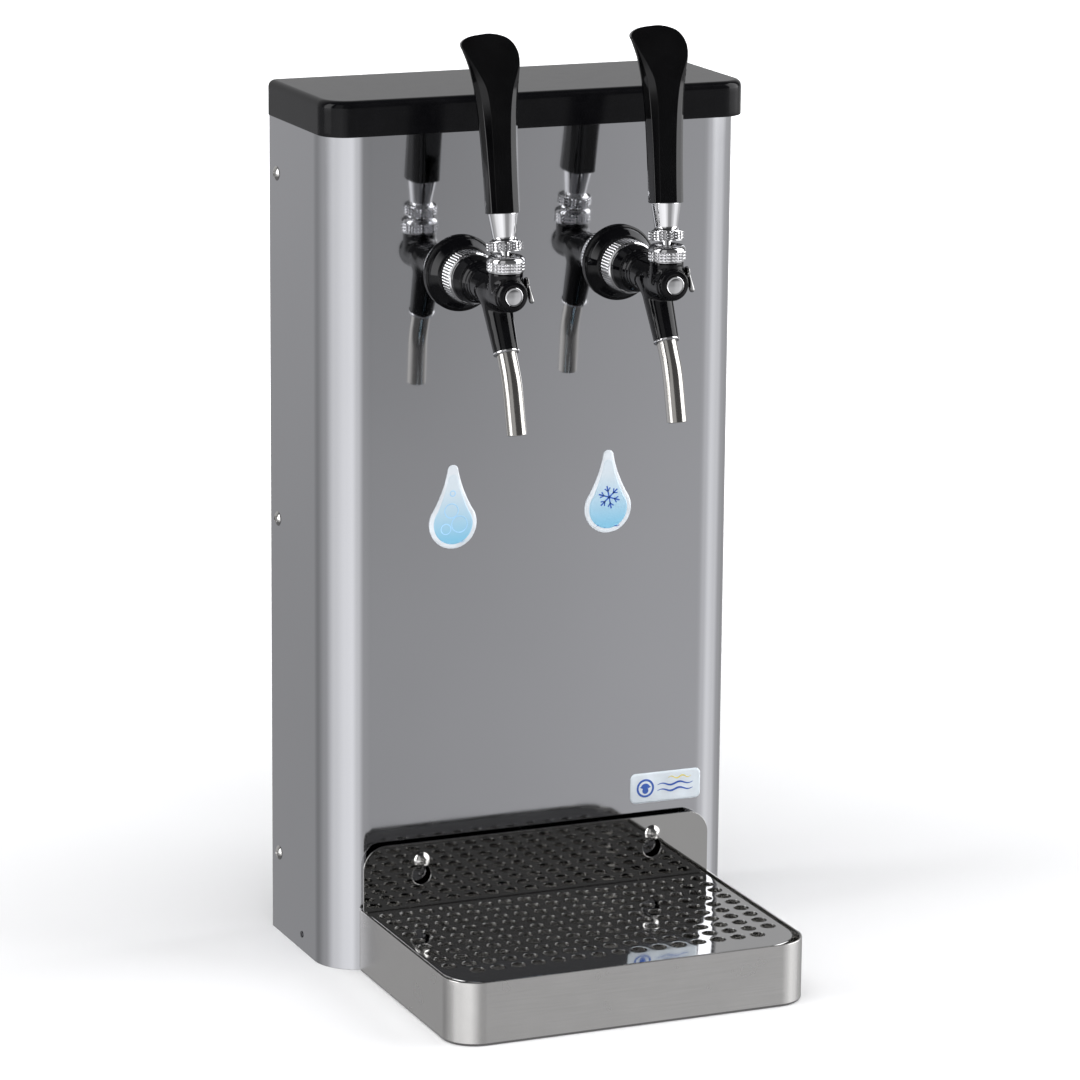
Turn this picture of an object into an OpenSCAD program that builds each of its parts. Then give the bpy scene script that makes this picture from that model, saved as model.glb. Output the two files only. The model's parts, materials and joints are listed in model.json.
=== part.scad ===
// Countertop water dispenser: a wall-thin tower carrying two lever taps over a hung drip tray.
// Origin: centre of the tower's base on the counter. +X right, -Y to the user, +Z up. Millimetres.

/* [Tower] */
// Width of the tower
tower_w = 315; // [290:1:340]
// Depth of the tower
tower_d = 120; // [112:1:150]
// Height of the tower under its lid
tower_h = 600; // [590:1:660]
// Radius of the two front corners
corner_r = 32; // [22:1:36]
// Thickness of the stainless sheet
sheet_t = 1.2; // [1:0.1:1.5]

/* [Lid] */
// Height of the lid
lid_h = 25; // [20:1:32]
// How far the lid stands out past the tower
lid_over = 2; // [1:0.5:4]
// Plan radius of the lid's front corners
lid_front_r = 20; // [14:1:30]
// Plan radius of the lid's rear corners
lid_rear_r = 7; // [6:1:12]
// Radius along the lid's top edge
lid_edge_r = 5; // [2:0.5:6]
// Wall of the lid
lid_wall = 3; // [2:0.5:4]

/* [Taps] */
// Distance of each tap from the middle of the tower
tap_x = 60; // [50:0.5:75]
// Height of the tap barrels
tap_z = 501; // [470:1:505]
// Diameter of the black wall flange
flange_d = 54; // [50:1:60]
// Diameter of the knurled coupling nut
coupling_d = 37.4; // [36:0.2:42]
// Diameter of the tap barrel
barrel_d = 23.5; // [23:0.1:25]
// Diameter of the outlet tube
outlet_d = 14; // [12:0.5:14]
// Lean of the nozzle from the vertical
nozzle_lean = 25; // [22:1:28]
// Turn of the nozzle about the barrel, towards the right
nozzle_turn = 2; // [0:0.5:3]
// Lean of the outlet tube's lower end
outlet_lean = 10; // [6:1:14]
// Tilt of the closed handle towards the tower
handle_tilt = 9; // [7:0.5:9]
// Sideways lean of the right-hand lever on its ball
right_lean = 2; // [0:0.5:2]
// Turn of each handle's flat face to the left
handle_turn = 13; // [0:1:15]
// Length of the handle above its ferrule
handle_len = 121.2; // [100:0.1:140]
// Width of the handle across its paddle
paddle_w = 40; // [34:1:44]

/* [Drip tray] */
// Width of the drip tray
tray_w = 270.5; // [250:0.5:280]
// Depth of the drip tray in front of the tower
tray_d = 182; // [170:1:200]
// Height of the drip tray's rim
tray_h = 45.7; // [40:0.1:52]
// Radius of the tray's two front corners
tray_r = 24; // [20:1:30]
// Height of the tray's rear plate above the counter
rear_plate_h = 92.3; // [90:0.1:98]
// Pitch of the grille's holes from side to side
grille_pitch_x = 15.17; // [15:0.01:15.3]
// Pitch of the grille's holes from front to back
grille_pitch_y = 14.8; // [14.4:0.1:14.8]
// Diameter of a grille hole
grille_hole_d = 11; // [8:0.5:12]

/* [Signs] */
// Height of a water-drop sign
drop_h = 60.4; // [50:0.1:66]
// Width of a water-drop sign
drop_w = 36; // [30:0.5:40]
// Width of the badge
badge_w = 55.3; // [45:0.1:60]
// Height of the badge
badge_h = 22.5; // [18:0.1:26]

/* [Hidden] */
$fn = 64;
LEFT = -1;
RIGHT = 1;
SIDES = [LEFT, RIGHT];

// Clearances: between sheets, between turned parts on one centre, and for a boolean cut
sheet_gap = 0.3;
turn_gap = 0.05;
cut = 1;

// Tower
front_y = -tower_d / 2;
rear_y = tower_d / 2;
inner_w = tower_w - 2 * sheet_t;
screw_zs = [60, tower_h - 290, tower_h - 40];
screw_y = rear_y - 14.5;
screw_r = 2;
rivet_y = -2;
rivet_z = 12;
rivet_r = 2.4;
lid_top = tower_h + lid_h;
lid_w = tower_w + 2 * lid_over;
lid_d = tower_d + 2 * lid_over;

// Rear panel: a tray with side flanges that the side screws go through
flange_depth = 26;
panel_half = inner_w / 2 - sheet_gap;

// Base plate
base_t = 2;
base_bolt_x = 240;
base_bolt_y = 60;
base_bolt_r = 3.5;
tube_slot_w = 80;
tube_slot_y0 = 14;
tube_slot_y1 = 46;
base_flange_y0 = -22;
base_flange_y1 = 18;
base_flange_h = 22;

// Water inlets on their bracket over the slot in the base
inlet_x = 22;
inlet_y = 30;
bracket_z = 58;
bracket_w = 120;
bracket_t = 2;
fitting_r = 8.5;
fitting_hex_r = 11.5;
tube_r = 4;
fitting_bottom = 38;
fitting_top = 84;

// Lines from the inlets up to the taps; hand-set points for the right-hand side
line_steps = 4;
line_sides = 8;
LINE_ROUTE = [[22, 30, 70], [22, 30, 100], [22, 29, 130], [26, 24, 170], [34, 14, 220], [44, 2, 280],
    [53, -6, 340], [58, -9, 390], [tap_x, -10, 430], [tap_x, -10, tap_z - 24]];
SLEEVE_FROM = 2;
SLEEVE_TO = 8;
sleeve_r = 10;

// Shank through the front panel, and what closes it behind
shank_r = 11;
shank_bore_r = 5;
flange_t = 10;
coupling_y0 = front_y - flange_t - 15;
coupling_y1 = front_y - flange_t;
shank_y0 = coupling_y1 - 7;
shank_y1 = front_y + 34;
backplate_t = 2;
backplate_w = 220;
backplate_h = 76;
locknut_r = 18;
locknut_t = 9;
elbow_y = front_y + 50;
elbow_r = 8;

// Tap body
barrel_r = barrel_d / 2;
spigot_r = 13;
body_y0 = front_y - 92;
seat_y = front_y - 46;
guide_r = 5.5;
chamber_r = 9;
neck_y = front_y - 82;
neck_top = tap_z + 21.4;
neck_thread_r = 10.5;
neck_shoulder_z = tap_z + 15;
pivot_z = tap_z + 17.5;
ball_r = 6.5;
nozzle_y = front_y - 61;
nozzle_len = 45.5;
nozzle_top_r = 11;
nozzle_end_r = 8.8;
nozzle_bore_r = 5.8;
outlet_r = outlet_d / 2;
outlet_wall = 1.2;
socket_len = 12;
ring_t = 1.6;

// Outlet tube: straight, bent, straight
out_straight = 14;
bend_r = 60;
bend_angle = nozzle_lean - outlet_lean;
out_tail = 28;
bend_steps = 8;
outlet_sides = 28;

// Front cap and disc
cap_r = 11;
cap_t = 4.5;
disc_r = 6.4;
disc_proud = 3;

// Bonnet and friction ring
bonnet_r = 13.15;
bonnet_z0 = tap_z + 15.3;
bonnet_knurl_z = tap_z + 22.6;
bonnet_z1 = tap_z + 26.2;
bonnet_bore_r = 6.9;
bonnet_lip_r = 7.9;
friction_z0 = neck_top + 0.1;
friction_z1 = friction_z0 + 2.5;
friction_low_r = 5.5;
friction_top_r = 6.6;

// Lever, collar, ferrule and handle, measured along the tilted lever from its pivot
stem_r = 3;
finger_r = 1.6;
finger_tip_r = 2.5;
finger_len = pivot_z - tap_z;
collar_r = 12.35;
collar_0 = 11.6;
collar_1 = 18;
ferrule_1 = 37.4;
ferrule_low_r = 7.9;
ferrule_top_r = 10.35;
ferrule_foot_r = 10;
stem_top = ferrule_1 - 2.5;
handle_0 = ferrule_1 + 0.1;
handle_sides = 24;
handle_power = 2.6;

// Handle by height: reach to its left and right, to its front and to its back
HANDLE_ZS = [0, 12, 26, 40, 52, 64, 74, 82, 88, 94, 100, 105.6, 110, 112.5, 114.8, 117, 119, 120.3, 121.2];
HANDLE_LEFT = [[0, 12], [52, 13.2], [78, 15], [93, 17.5], [105.6, 19.9], [110, 22.3], [114.8, 24.4],
    [118.3, 21.4], [120.3, 15.8], [121.2, 7]];
HANDLE_RIGHT = [[0, 12.2], [52, 12.6], [78, 13.5], [90, 14.5], [100, 15.2], [105, 15.1], [110, 13.2],
    [113.4, 11], [118.8, 5.9], [120.3, 1], [121.2, -4]];
HANDLE_FRONT = [[0, 11.4], [52, 10.6], [78, 11], [111, 12.2], [121.2, 10.9]];
HANDLE_BACK = [[0, 11.2], [52, 9.4], [84, 6.6], [100, 4], [111, 1.9], [118.2, 0], [121.2, -2.8]];
HANDLE_TABLE_H = 121.2;
HANDLE_TABLE_W = 39.6;

// Flow lever on the outer side of the tap
flow_y = front_y - 87;
flow_z = tap_z + 7;
flow_hub_r = 4.2;
flow_hub_x0 = barrel_r + 0.3;
flow_hub_x1 = barrel_r + 2.6;
flow_pin_r = 1.6;
flow_pin_x = 8;
flow_arm_len = 13;
flow_arm_lean = 16;
flow_tip_r = 2.6;

// Valve shaft and its seal
shaft_front_y = body_y0 + 1.5;
shaft_guide_r = guide_r - turn_gap;
shaft_guide_y1 = front_y - 70;
shaft_stem_r = 3;
shaft_end_y = seat_y + 8;
seal_r = 7.5;
seal_t = 3.5;
finger_y = neck_y - finger_len * sin(handle_tilt);
pocket_half = 3;
pocket_w = 6.6;
pocket_flare = 4.6;
pocket_flare_w = 12;
finger_slot_w = 4.4;
finger_slot_d = 12;
seat_z = pivot_z - 5;

// Drip tray
tray_t = 1.2;
tray_front_y = front_y - tray_d;
tray_rear_y = front_y - 0.6;
rear_plate_y = front_y - 6;
rear_plate_r = 17;
tray_screw_x = 90;
tray_screw_z = 79;
tray_shank_r = 2.5;
key_slot_r = 3;
key_hole_r = 7.25;
key_drop = 11;
rivnut_r = 4.5;
tray_head_r = 6;
tray_head_t = 4;
tray_lug_w = 14;
tray_lug_z = 40.4;

// Grille
grille_t = 1.6;
grille_top = 44.6;
grille_gap = 2.2;
grille_front_gap = 2.6;
grille_r = 30;
grille_cols = 17;
grille_rows = 10;
grille_row0_y = front_y - 151.6;
grille_skirt = 2.6;

// Signs
sign_t = 1.2;
drop_left_x = -65;
drop_left_z = 304;
drop_right_x = 54;
drop_right_z = 305.5;
nub_r = 3.9;
badge_x = 102.4;
badge_z = 111.9;
badge_r = 4;

// ---------- helpers ----------
// A rectangle whose two front corners are round
module front_rounded(w, y0, y1, r) {
    translate([-w / 2, y0 + r]) square([w, y1 - y0 - r]);
    translate([-w / 2 + r, y0]) square([w - 2 * r, 2 * r]);
    for (s = SIDES) translate([s * (w / 2 - r), y0 + r]) circle(r);
}

// A cylinder along Y from y0 to y1
module along_y(r, y0, y1) {
    translate([0, y0, 0]) rotate([-90, 0, 0]) cylinder(r = r, h = y1 - y0);
}

// A cylinder along X from x0 to x1
module along_x(r, x0, x1) {
    translate([x0, 0, 0]) rotate([0, 90, 0]) cylinder(r = r, h = x1 - x0);
}

// A solid turned about the Y axis from points [radius, y]
module turned_y(points) {
    rotate([-90, 0, 0]) rotate_extrude() polygon(points);
}

// Puts a part built on the barrel's axis onto the tap of one side
module at_tap(side) {
    translate([side * tap_x, 0, tap_z]) children();
}

// Puts a part built along +Z from the lever's pivot onto the closed lever
module at_lever(side) {
    lean = side == RIGHT ? right_lean : 0;
    translate([side * tap_x, neck_y, pivot_z]) rotate([-handle_tilt, lean, 0]) children();
}

// Puts a part built along -Z from the barrel's axis onto the leaning nozzle
module at_nozzle(side) {
    translate([side * tap_x, nozzle_y, tap_z]) rotate([-nozzle_lean, -nozzle_turn, 0]) children();
}

// A point between p1 and p2 on the smooth curve through p0, p1, p2 and p3
function smooth(p0, p1, p2, p3, t) = 0.5 * (2 * p1 + (p2 - p0) * t
    + (2 * p0 - 5 * p1 + 4 * p2 - p3) * t * t + (3 * p1 - p0 - 3 * p2 + p3) * t * t * t);

// The smooth curve through the points of a route, from point a to point b
function curve(route, a, b) = concat([for (i = [a : b - 1]) for (k = [0 : line_steps - 1])
    smooth(route[max(i - 1, 0)], route[i], route[i + 1], route[min(i + 2, len(route) - 1)],
        k / line_steps)], [route[b]]);

function unit(v) = v / norm(v);
function heading(path, i) = unit(path[min(i + 1, len(path) - 1)] - path[max(i - 1, 0)]);

// One ring of n points of a tube about a point of its path
function ring(path, i, r, n) = let (t = heading(path, i), u = unit(cross(t, [0, 1, 0])), v = cross(t, u))
    [for (k = [0 : n - 1]) path[i] + r * (cos(360 * k / n) * u + sin(360 * k / n) * v)];

// Faces that join rings of n points, closed at both ends
function tube_faces(rings, n) = concat(
    [[for (k = [0 : n - 1]) k]],
    [for (i = [0 : rings - 2]) for (k = [0 : n - 1])
        [i * n + k, (i + 1) * n + k, (i + 1) * n + (k + 1) % n, i * n + (k + 1) % n]],
    [[for (k = [n - 1 : -1 : 0]) (rings - 1) * n + k]]);

module tube(path, r, n) {
    polyhedron(points = [for (i = [0 : len(path) - 1]) each ring(path, i, r, n)],
        faces = tube_faces(len(path), n), convexity = 6);
}

// ---------- tower ----------
module front_shell() {
    color("#b9babd") difference() {
        linear_extrude(tower_h) difference() {
            front_rounded(tower_w, front_y, rear_y, corner_r);
            front_rounded(inner_w, front_y + sheet_t, rear_y + cut, corner_r - sheet_t);
        }
        for (s = SIDES) {
            translate([s * tap_x, 0, tap_z]) along_y(shank_r + 0.3, front_y - cut, front_y + 2 * cut);
            translate([s * tray_screw_x, 0, tray_screw_z])
                along_y(rivnut_r + turn_gap, front_y - cut, front_y + 2 * cut);
        }
        for (z = screw_zs) {
            translate([0, screw_y, z]) along_x(screw_r + turn_gap, -tower_w, tower_w);
        }
        translate([0, rivet_y, rivet_z]) along_x(rivet_r + turn_gap, -tower_w, tower_w);
    }
}

module rear_panel() {
    z0 = base_t + 1;
    h = tower_h - z0 - 1;
    color("#a9aaad") difference() {
        union() {
            translate([-panel_half, rear_y - sheet_t, z0]) cube([2 * panel_half, sheet_t, h]);
            for (s = SIDES) {
                translate([s * (panel_half - sheet_t / 2), rear_y - flange_depth / 2, z0 + h / 2])
                    cube([sheet_t, flange_depth, h], center = true);
            }
        }
        for (z = screw_zs) {
            translate([0, screw_y, z]) along_x(screw_r + turn_gap, -tower_w, tower_w);
        }
    }
}

module base_plate() {
    half = inner_w / 2 - sheet_gap;
    color("#8f9093") difference() {
        union() {
            linear_extrude(base_t) front_rounded(2 * half, front_y + sheet_t + sheet_gap,
                rear_y - sheet_t - sheet_gap, corner_r - sheet_t - sheet_gap);
            for (s = SIDES) {
                translate([s * (half - base_t / 2), (base_flange_y0 + base_flange_y1) / 2,
                    base_flange_h / 2])
                    cube([base_t, base_flange_y1 - base_flange_y0, base_flange_h], center = true);
            }
        }
        for (sx = SIDES, sy = SIDES) {
            translate([sx * base_bolt_x / 2, sy * base_bolt_y / 2, -cut])
                cylinder(r = base_bolt_r, h = base_t + 2 * cut);
        }
        translate([-tube_slot_w / 2, tube_slot_y0, -cut])
            cube([tube_slot_w, tube_slot_y1 - tube_slot_y0, base_t + 2 * cut]);
        translate([0, rivet_y, rivet_z]) along_x(rivet_r + turn_gap, -tower_w, tower_w);
    }
}

// One corner post of the lid, with a rounded top edge
module lid_post(x, y, r) {
    $fn = 32;
    translate([x, y, tower_h]) cylinder(r = r, h = lid_h - lid_edge_r);
    translate([x, y, lid_top - lid_edge_r]) rotate_extrude()
        intersection() {
            translate([r - lid_edge_r, 0]) circle(lid_edge_r);
            translate([0, -lid_edge_r]) square([r, 2 * lid_edge_r]);
        }
}

// A moulded cap with a rounded top edge, hollow below, that rests on the shell's rim
module top_lid() {
    rim_step = 6;
    rim_in = 9;
    hollow_in = 15;
    color("#121214") difference() {
        hull() for (s = SIDES) {
            lid_post(s * (lid_w / 2 - lid_front_r), -lid_d / 2 + lid_front_r, lid_front_r);
            lid_post(s * (lid_w / 2 - lid_rear_r), lid_d / 2 - lid_rear_r, lid_rear_r);
        }
        translate([0, 0, tower_h - cut]) linear_extrude(rim_step + cut)
            front_rounded(tower_w - 2 * rim_in, front_y + rim_in, rear_y - rim_in, 12);
        translate([0, 0, tower_h - cut]) linear_extrude(lid_h - lid_wall + cut)
            front_rounded(tower_w - 2 * hollow_in, front_y + hollow_in, rear_y - hollow_in, 12);
    }
}

// Pan-head screws with a round recess, three a side
module side_screws() {
    head_r = 5.25;
    head_h = 2.4;
    shank = 9;
    color("#c9cacc") for (s = SIDES, z = screw_zs) {
        translate([s * tower_w / 2, screw_y, z]) rotate([0, s * 90, 0]) difference() {
            union() {
                rotate_extrude() intersection() {
                    translate([0, head_h - dome_r(head_r, head_h)]) circle(dome_r(head_r, head_h));
                    square([head_r, head_h]);
                }
                translate([0, 0, -shank]) cylinder(r = screw_r, h = shank + 0.2);
            }
            translate([0, 0, 1]) cylinder(r = 1.6, h = head_h);
        }
    }
}

// Radius of a dome of a given base radius and height
function dome_r(r, h) = (r * r + h * h) / (2 * h);

module side_nuts() {
    nut_r = 5;
    nut_h = 4;
    x = panel_half - sheet_t;
    color("#9b9c9e") for (s = SIDES, z = screw_zs) {
        translate([s * x, screw_y, z]) rotate([0, -s * 90, 0]) difference() {
            cylinder(r = nut_r, h = nut_h, $fn = 6);
            translate([0, 0, -cut]) cylinder(r = screw_r + turn_gap, h = nut_h + 2 * cut);
        }
    }
}

// Blind rivets that hold the base plate's flanges in the shell, set in flush
module base_rivets() {
    rivet_in = 7;
    recess = 0.4;
    color("#3a3a3c") for (s = SIDES) {
        translate([s * (tower_w / 2 - recess), rivet_y, rivet_z]) rotate([0, -s * 90, 0])
            cylinder(r = rivet_r, h = rivet_in);
    }
}

module tap_backplate() {
    color("#9b9c9e") difference() {
        translate([-backplate_w / 2, front_y + sheet_t, tap_z - backplate_h / 2])
            cube([backplate_w, backplate_t, backplate_h]);
        for (s = SIDES) {
            translate([s * tap_x, 0, tap_z]) along_y(shank_r + 0.3, front_y, front_y + 9);
        }
    }
}

module inlet_bracket() {
    y0 = 11;
    depth = 38;
    color("#9b9c9e") difference() {
        union() {
            translate([-bracket_w / 2, y0, bracket_z]) cube([bracket_w, depth, bracket_t]);
            for (s = SIDES) {
                translate([s * (bracket_w - bracket_t) / 2, y0 + depth / 2, (bracket_z + base_t) / 2])
                    cube([bracket_t, depth, bracket_z - base_t + 0.02], center = true);
            }
        }
        for (s = SIDES) {
            translate([s * inlet_x, inlet_y, bracket_z - cut])
                cylinder(r = fitting_r + turn_gap, h = bracket_t + 2 * cut);
        }
    }
}

// A push-in union held in the bracket: hexagon below, locknut above
module inlet_fitting(side) {
    hex_t = 7;
    nut_t = 5;
    inlet_depth = 18;
    line_depth = 15;
    color("#1d1d20") translate([side * inlet_x, inlet_y, 0]) difference() {
        union() {
            translate([0, 0, fitting_bottom]) cylinder(r = fitting_r, h = fitting_top - fitting_bottom);
            translate([0, 0, bracket_z - hex_t]) cylinder(r = fitting_hex_r, h = hex_t, $fn = 6);
            translate([0, 0, bracket_z + bracket_t]) cylinder(r = fitting_hex_r, h = nut_t, $fn = 6);
        }
        translate([0, 0, fitting_bottom - cut]) cylinder(r = tube_r + turn_gap, h = inlet_depth + cut);
        translate([0, 0, fitting_bottom]) cylinder(r = tube_r - 1, h = fitting_top - fitting_bottom);
        translate([0, 0, fitting_top - line_depth]) cylinder(r = tube_r + 0.1, h = line_depth + cut);
    }
}

function route_for(side) = [for (p = LINE_ROUTE) [side * p.x, p.y, p.z]];

module product_line(side) {
    color("#e9eef0") tube(curve(route_for(side), 0, len(LINE_ROUTE) - 1), tube_r, line_sides);
}

module line_sleeve(side) {
    path = curve(route_for(side), SLEEVE_FROM, SLEEVE_TO);
    bore = curve(route_for(side), SLEEVE_FROM - 1, SLEEVE_TO + 1);
    color("#2c2c2e") difference() {
        tube(path, sleeve_r, line_sides);
        tube(bore, tube_r + 0.5, line_sides);
    }
}

// ---------- taps: what holds them to the tower ----------
module wall_flange(side) {
    r = flange_d / 2;
    color("#0c0c0d") at_tap(side) difference() {
        turned_y([[0, front_y - flange_t], [coupling_d / 2 + 1.5, front_y - flange_t],
            [r - 5, front_y - flange_t + 2.2], [r - 1.2, front_y - 4.6], [r, front_y - 2.4],
            [r, front_y], [0, front_y]]);
        along_y(shank_r + turn_gap, front_y - flange_t - cut, front_y + cut);
    }
}

module coupling_nut(side) {
    r = coupling_d / 2;
    color("#d4d5d7") at_tap(side) difference() {
        turned_y([[0, coupling_y0], [r - 1.2, coupling_y0], [r, coupling_y0 + 1.2],
            [r, coupling_y1 - 1], [r - 1, coupling_y1], [0, coupling_y1]]);
        along_y(spigot_r + turn_gap, coupling_y0 - cut, shank_y0 + 0.2);
        along_y(shank_r + turn_gap, coupling_y0 - cut, coupling_y1 + cut);
    }
}

module shank(side) {
    color("#c3c4c6") at_tap(side) difference() {
        along_y(shank_r, shank_y0, shank_y1);
        along_y(shank_bore_r, shank_y0 - cut, shank_y1 + cut);
    }
}

module shank_locknut(side) {
    y0 = front_y + sheet_t + backplate_t;
    color("#b0a060") at_tap(side) difference() {
        translate([0, y0, 0]) rotate([-90, 0, 0]) cylinder(r = locknut_r, h = locknut_t, $fn = 6);
        along_y(shank_r + turn_gap, y0 - cut, y0 + locknut_t + cut);
    }
}

// A closed elbow on the shank's end that turns down to take the line
module tail_elbow(side) {
    y0 = shank_y1 - 12;
    down = 34;
    cup_r = shank_r + 2.5;
    end_t = 3;
    way_r = shank_bore_r - 2;
    line_depth = 12;
    color("#1d1d20") at_tap(side) difference() {
        union() {
            along_y(cup_r, y0, shank_y1 + end_t);
            along_y(elbow_r, shank_y1, elbow_y);
            translate([0, elbow_y, 0]) sphere(elbow_r);
            translate([0, elbow_y, -down]) cylinder(r = elbow_r, h = down);
        }
        along_y(shank_r + turn_gap, y0 - cut, shank_y1 + 0.1);
        along_y(way_r, shank_y1 - cut, elbow_y);
        translate([0, elbow_y, -down]) cylinder(r = way_r, h = down);
        translate([0, elbow_y, -down - cut]) cylinder(r = tube_r + 0.2, h = line_depth + cut);
    }
}

// ---------- taps: body ----------
module tap_body(side) {
    cap_seat = 3;
    color("#0b0b0c") difference() {
        union() {
            at_tap(side) turned_y([[0, body_y0], [barrel_r - 0.8, body_y0], [barrel_r, body_y0 + 0.8],
                [barrel_r, front_y - 47], [12.2, front_y - 45], [12.6, front_y - 42],
                [14.2, front_y - 38.5], [14.2, front_y - 36.5], [15.2, front_y - 36],
                [16.4, front_y - 31], [17, front_y - 28.5], [17, coupling_y0],
                [spigot_r, coupling_y0], [spigot_r, shank_y0 - 0.1], [0, shank_y0 - 0.1]]);
            translate([side * tap_x, neck_y, tap_z]) cylinder(r = barrel_r, h = neck_shoulder_z - tap_z);
            translate([side * tap_x, neck_y, tap_z]) cylinder(r = neck_thread_r, h = neck_top - tap_z);
            at_nozzle(side) translate([0, 0, -nozzle_len])
                cylinder(r1 = nozzle_end_r, r2 = nozzle_top_r, h = nozzle_len);
        }
        at_tap(side) along_y(cap_r + turn_gap, body_y0 - cap_seat, body_y0);
        at_tap(side) along_y(guide_r, body_y0 - cut, shank_y0);
        at_tap(side) along_y(chamber_r, seat_y, shank_y0 + cut);
        translate([side * tap_x, neck_y, pivot_z]) sphere(ball_r + turn_gap);
        translate([side * tap_x, neck_y, pivot_z])
            cylinder(r = ball_r + turn_gap, h = neck_top - pivot_z + cut);
        translate([side * tap_x - finger_slot_w / 2, neck_y - finger_slot_d / 2, tap_z])
            cube([finger_slot_w, finger_slot_d, seat_z - tap_z]);
        at_nozzle(side) translate([0, 0, -nozzle_len - cut])
            cylinder(r = nozzle_bore_r, h = nozzle_len + cut);
        at_nozzle(side) translate([0, 0, -nozzle_len - cut])
            cylinder(r = outlet_r + turn_gap, h = socket_len + cut);
        translate([side * tap_x, flow_y, flow_z]) along_x(flow_pin_r + turn_gap,
            flow_pin_x, barrel_r + cut);
    }
}

module nozzle_ring(side) {
    color("#d4d5d7") at_nozzle(side) translate([0, 0, -nozzle_len - ring_t]) difference() {
        cylinder(r = nozzle_end_r + 0.4, h = ring_t);
        translate([0, 0, -cut]) cylinder(r = outlet_r + turn_gap, h = ring_t + 2 * cut);
    }
}

// The outlet's middle line down from the barrel's axis: straight, bent towards the vertical, straight
function lean_way(a) = [0, -sin(a), -cos(a)];
function outlet_path(over) = let (first = lean_way(nozzle_lean), last = lean_way(outlet_lean),
        bend_0 = (nozzle_len + out_straight) * first,
        centre = bend_0 + bend_r * [0, cos(nozzle_lean), -sin(nozzle_lean)])
    concat([(nozzle_len - socket_len - over) * first],
        [for (k = [0 : bend_steps]) let (a = nozzle_lean - bend_angle * k / bend_steps)
            centre - bend_r * [0, cos(a), -sin(a)]],
        [centre - bend_r * [0, cos(outlet_lean), -sin(outlet_lean)] + (out_tail + over) * last]);

module outlet_tube(side) {
    color("#a9a8a4") translate([side * tap_x, nozzle_y, tap_z]) rotate([0, -nozzle_turn, 0]) difference() {
        tube(outlet_path(0), outlet_r, outlet_sides);
        tube(outlet_path(cut), outlet_r - outlet_wall, outlet_sides);
    }
}

module front_cap(side) {
    color("#0b0b0c") at_tap(side) difference() {
        turned_y([[0, body_y0 - cap_t], [cap_r - 2, body_y0 - cap_t], [cap_r - 0.6, body_y0 - cap_t + 0.8],
            [cap_r, body_y0 - cap_t + 2.2], [cap_r, body_y0], [0, body_y0]]);
        along_y(disc_r + turn_gap, body_y0 - cap_t - cut, body_y0 + cut);
    }
}

module cap_disc(side) {
    y0 = body_y0 - cap_t;
    color("#cfd0d2") at_tap(side) rotate([-90, 0, 0]) rotate_extrude() intersection() {
        union() {
            translate([0, y0 - disc_proud + dome_r(disc_r, disc_proud)])
                circle(dome_r(disc_r, disc_proud));
            translate([0, y0]) square([disc_r, cap_t]);
        }
        translate([0, y0 - disc_proud]) square([disc_r, disc_proud + cap_t]);
    }
}

module bonnet_nut(side) {
    drop = bonnet_z1 - bonnet_knurl_z;
    top_r = bonnet_r - drop;
    color("#d9dadc") translate([side * tap_x, neck_y, 0]) difference() {
        union() {
            translate([0, 0, bonnet_z0]) cylinder(r = bonnet_r, h = bonnet_knurl_z - bonnet_z0);
            translate([0, 0, bonnet_knurl_z]) rotate_extrude() {
                square([top_r, drop]);
                intersection() {
                    translate([top_r, 0]) circle(drop);
                    square([bonnet_r, drop]);
                }
            }
        }
        translate([0, 0, bonnet_z0 - cut])
            cylinder(r = neck_thread_r + turn_gap, h = friction_z1 - bonnet_z0 + cut);
        translate([0, 0, friction_z1 - 0.01])
            cylinder(r1 = bonnet_bore_r, r2 = bonnet_lip_r, h = bonnet_z1 - friction_z1 + 0.02);
    }
}

module friction_ring(side) {
    color("#e8e6df") translate([side * tap_x, neck_y, friction_z0]) difference() {
        cylinder(r = neck_thread_r - 0.1, h = friction_z1 - friction_z0);
        translate([0, 0, -0.01])
            cylinder(r1 = friction_low_r, r2 = friction_top_r, h = friction_z1 - friction_z0 + 0.02);
    }
}

// A small stop lever on a pin, hanging down and out
module flow_lever(side) {
    color("#c9cacc") translate([side * tap_x, flow_y, flow_z]) union() {
        along_x(flow_hub_r, flow_hub_x0, flow_hub_x1);
        along_x(flow_pin_r, flow_pin_x + 1, flow_hub_x0 + 0.5);
        translate([(flow_hub_x0 + flow_hub_x1) / 2, 0, 0]) rotate([0, -flow_arm_lean, 0])
            rotate([0, 180, 0]) scale([0.55, 1, 1])
            cylinder(r1 = flow_hub_r - 1, r2 = flow_tip_r, h = flow_arm_len);
    }
}

// ---------- taps: lever and valve ----------
module lever_stem(side) {
    step_r = 4.4;
    step_t = 0.6;
    color("#b9babd") at_lever(side) union() {
        sphere(ball_r);
        cylinder(r = stem_r, h = stem_top);
        translate([0, 0, collar_0 - step_t]) cylinder(r = step_r, h = step_t);
        translate([0, 0, -finger_len]) cylinder(r = finger_r, h = finger_len);
        translate([0, 0, -finger_len]) sphere(finger_tip_r);
    }
}

module lever_collar(side) {
    color("#d9dadc") at_lever(side) difference() {
        translate([0, 0, collar_0]) cylinder(r = collar_r, h = collar_1 - collar_0);
        translate([0, 0, collar_0 - cut])
            cylinder(r = stem_r + turn_gap, h = collar_1 - collar_0 + 2 * cut);
    }
}

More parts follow.
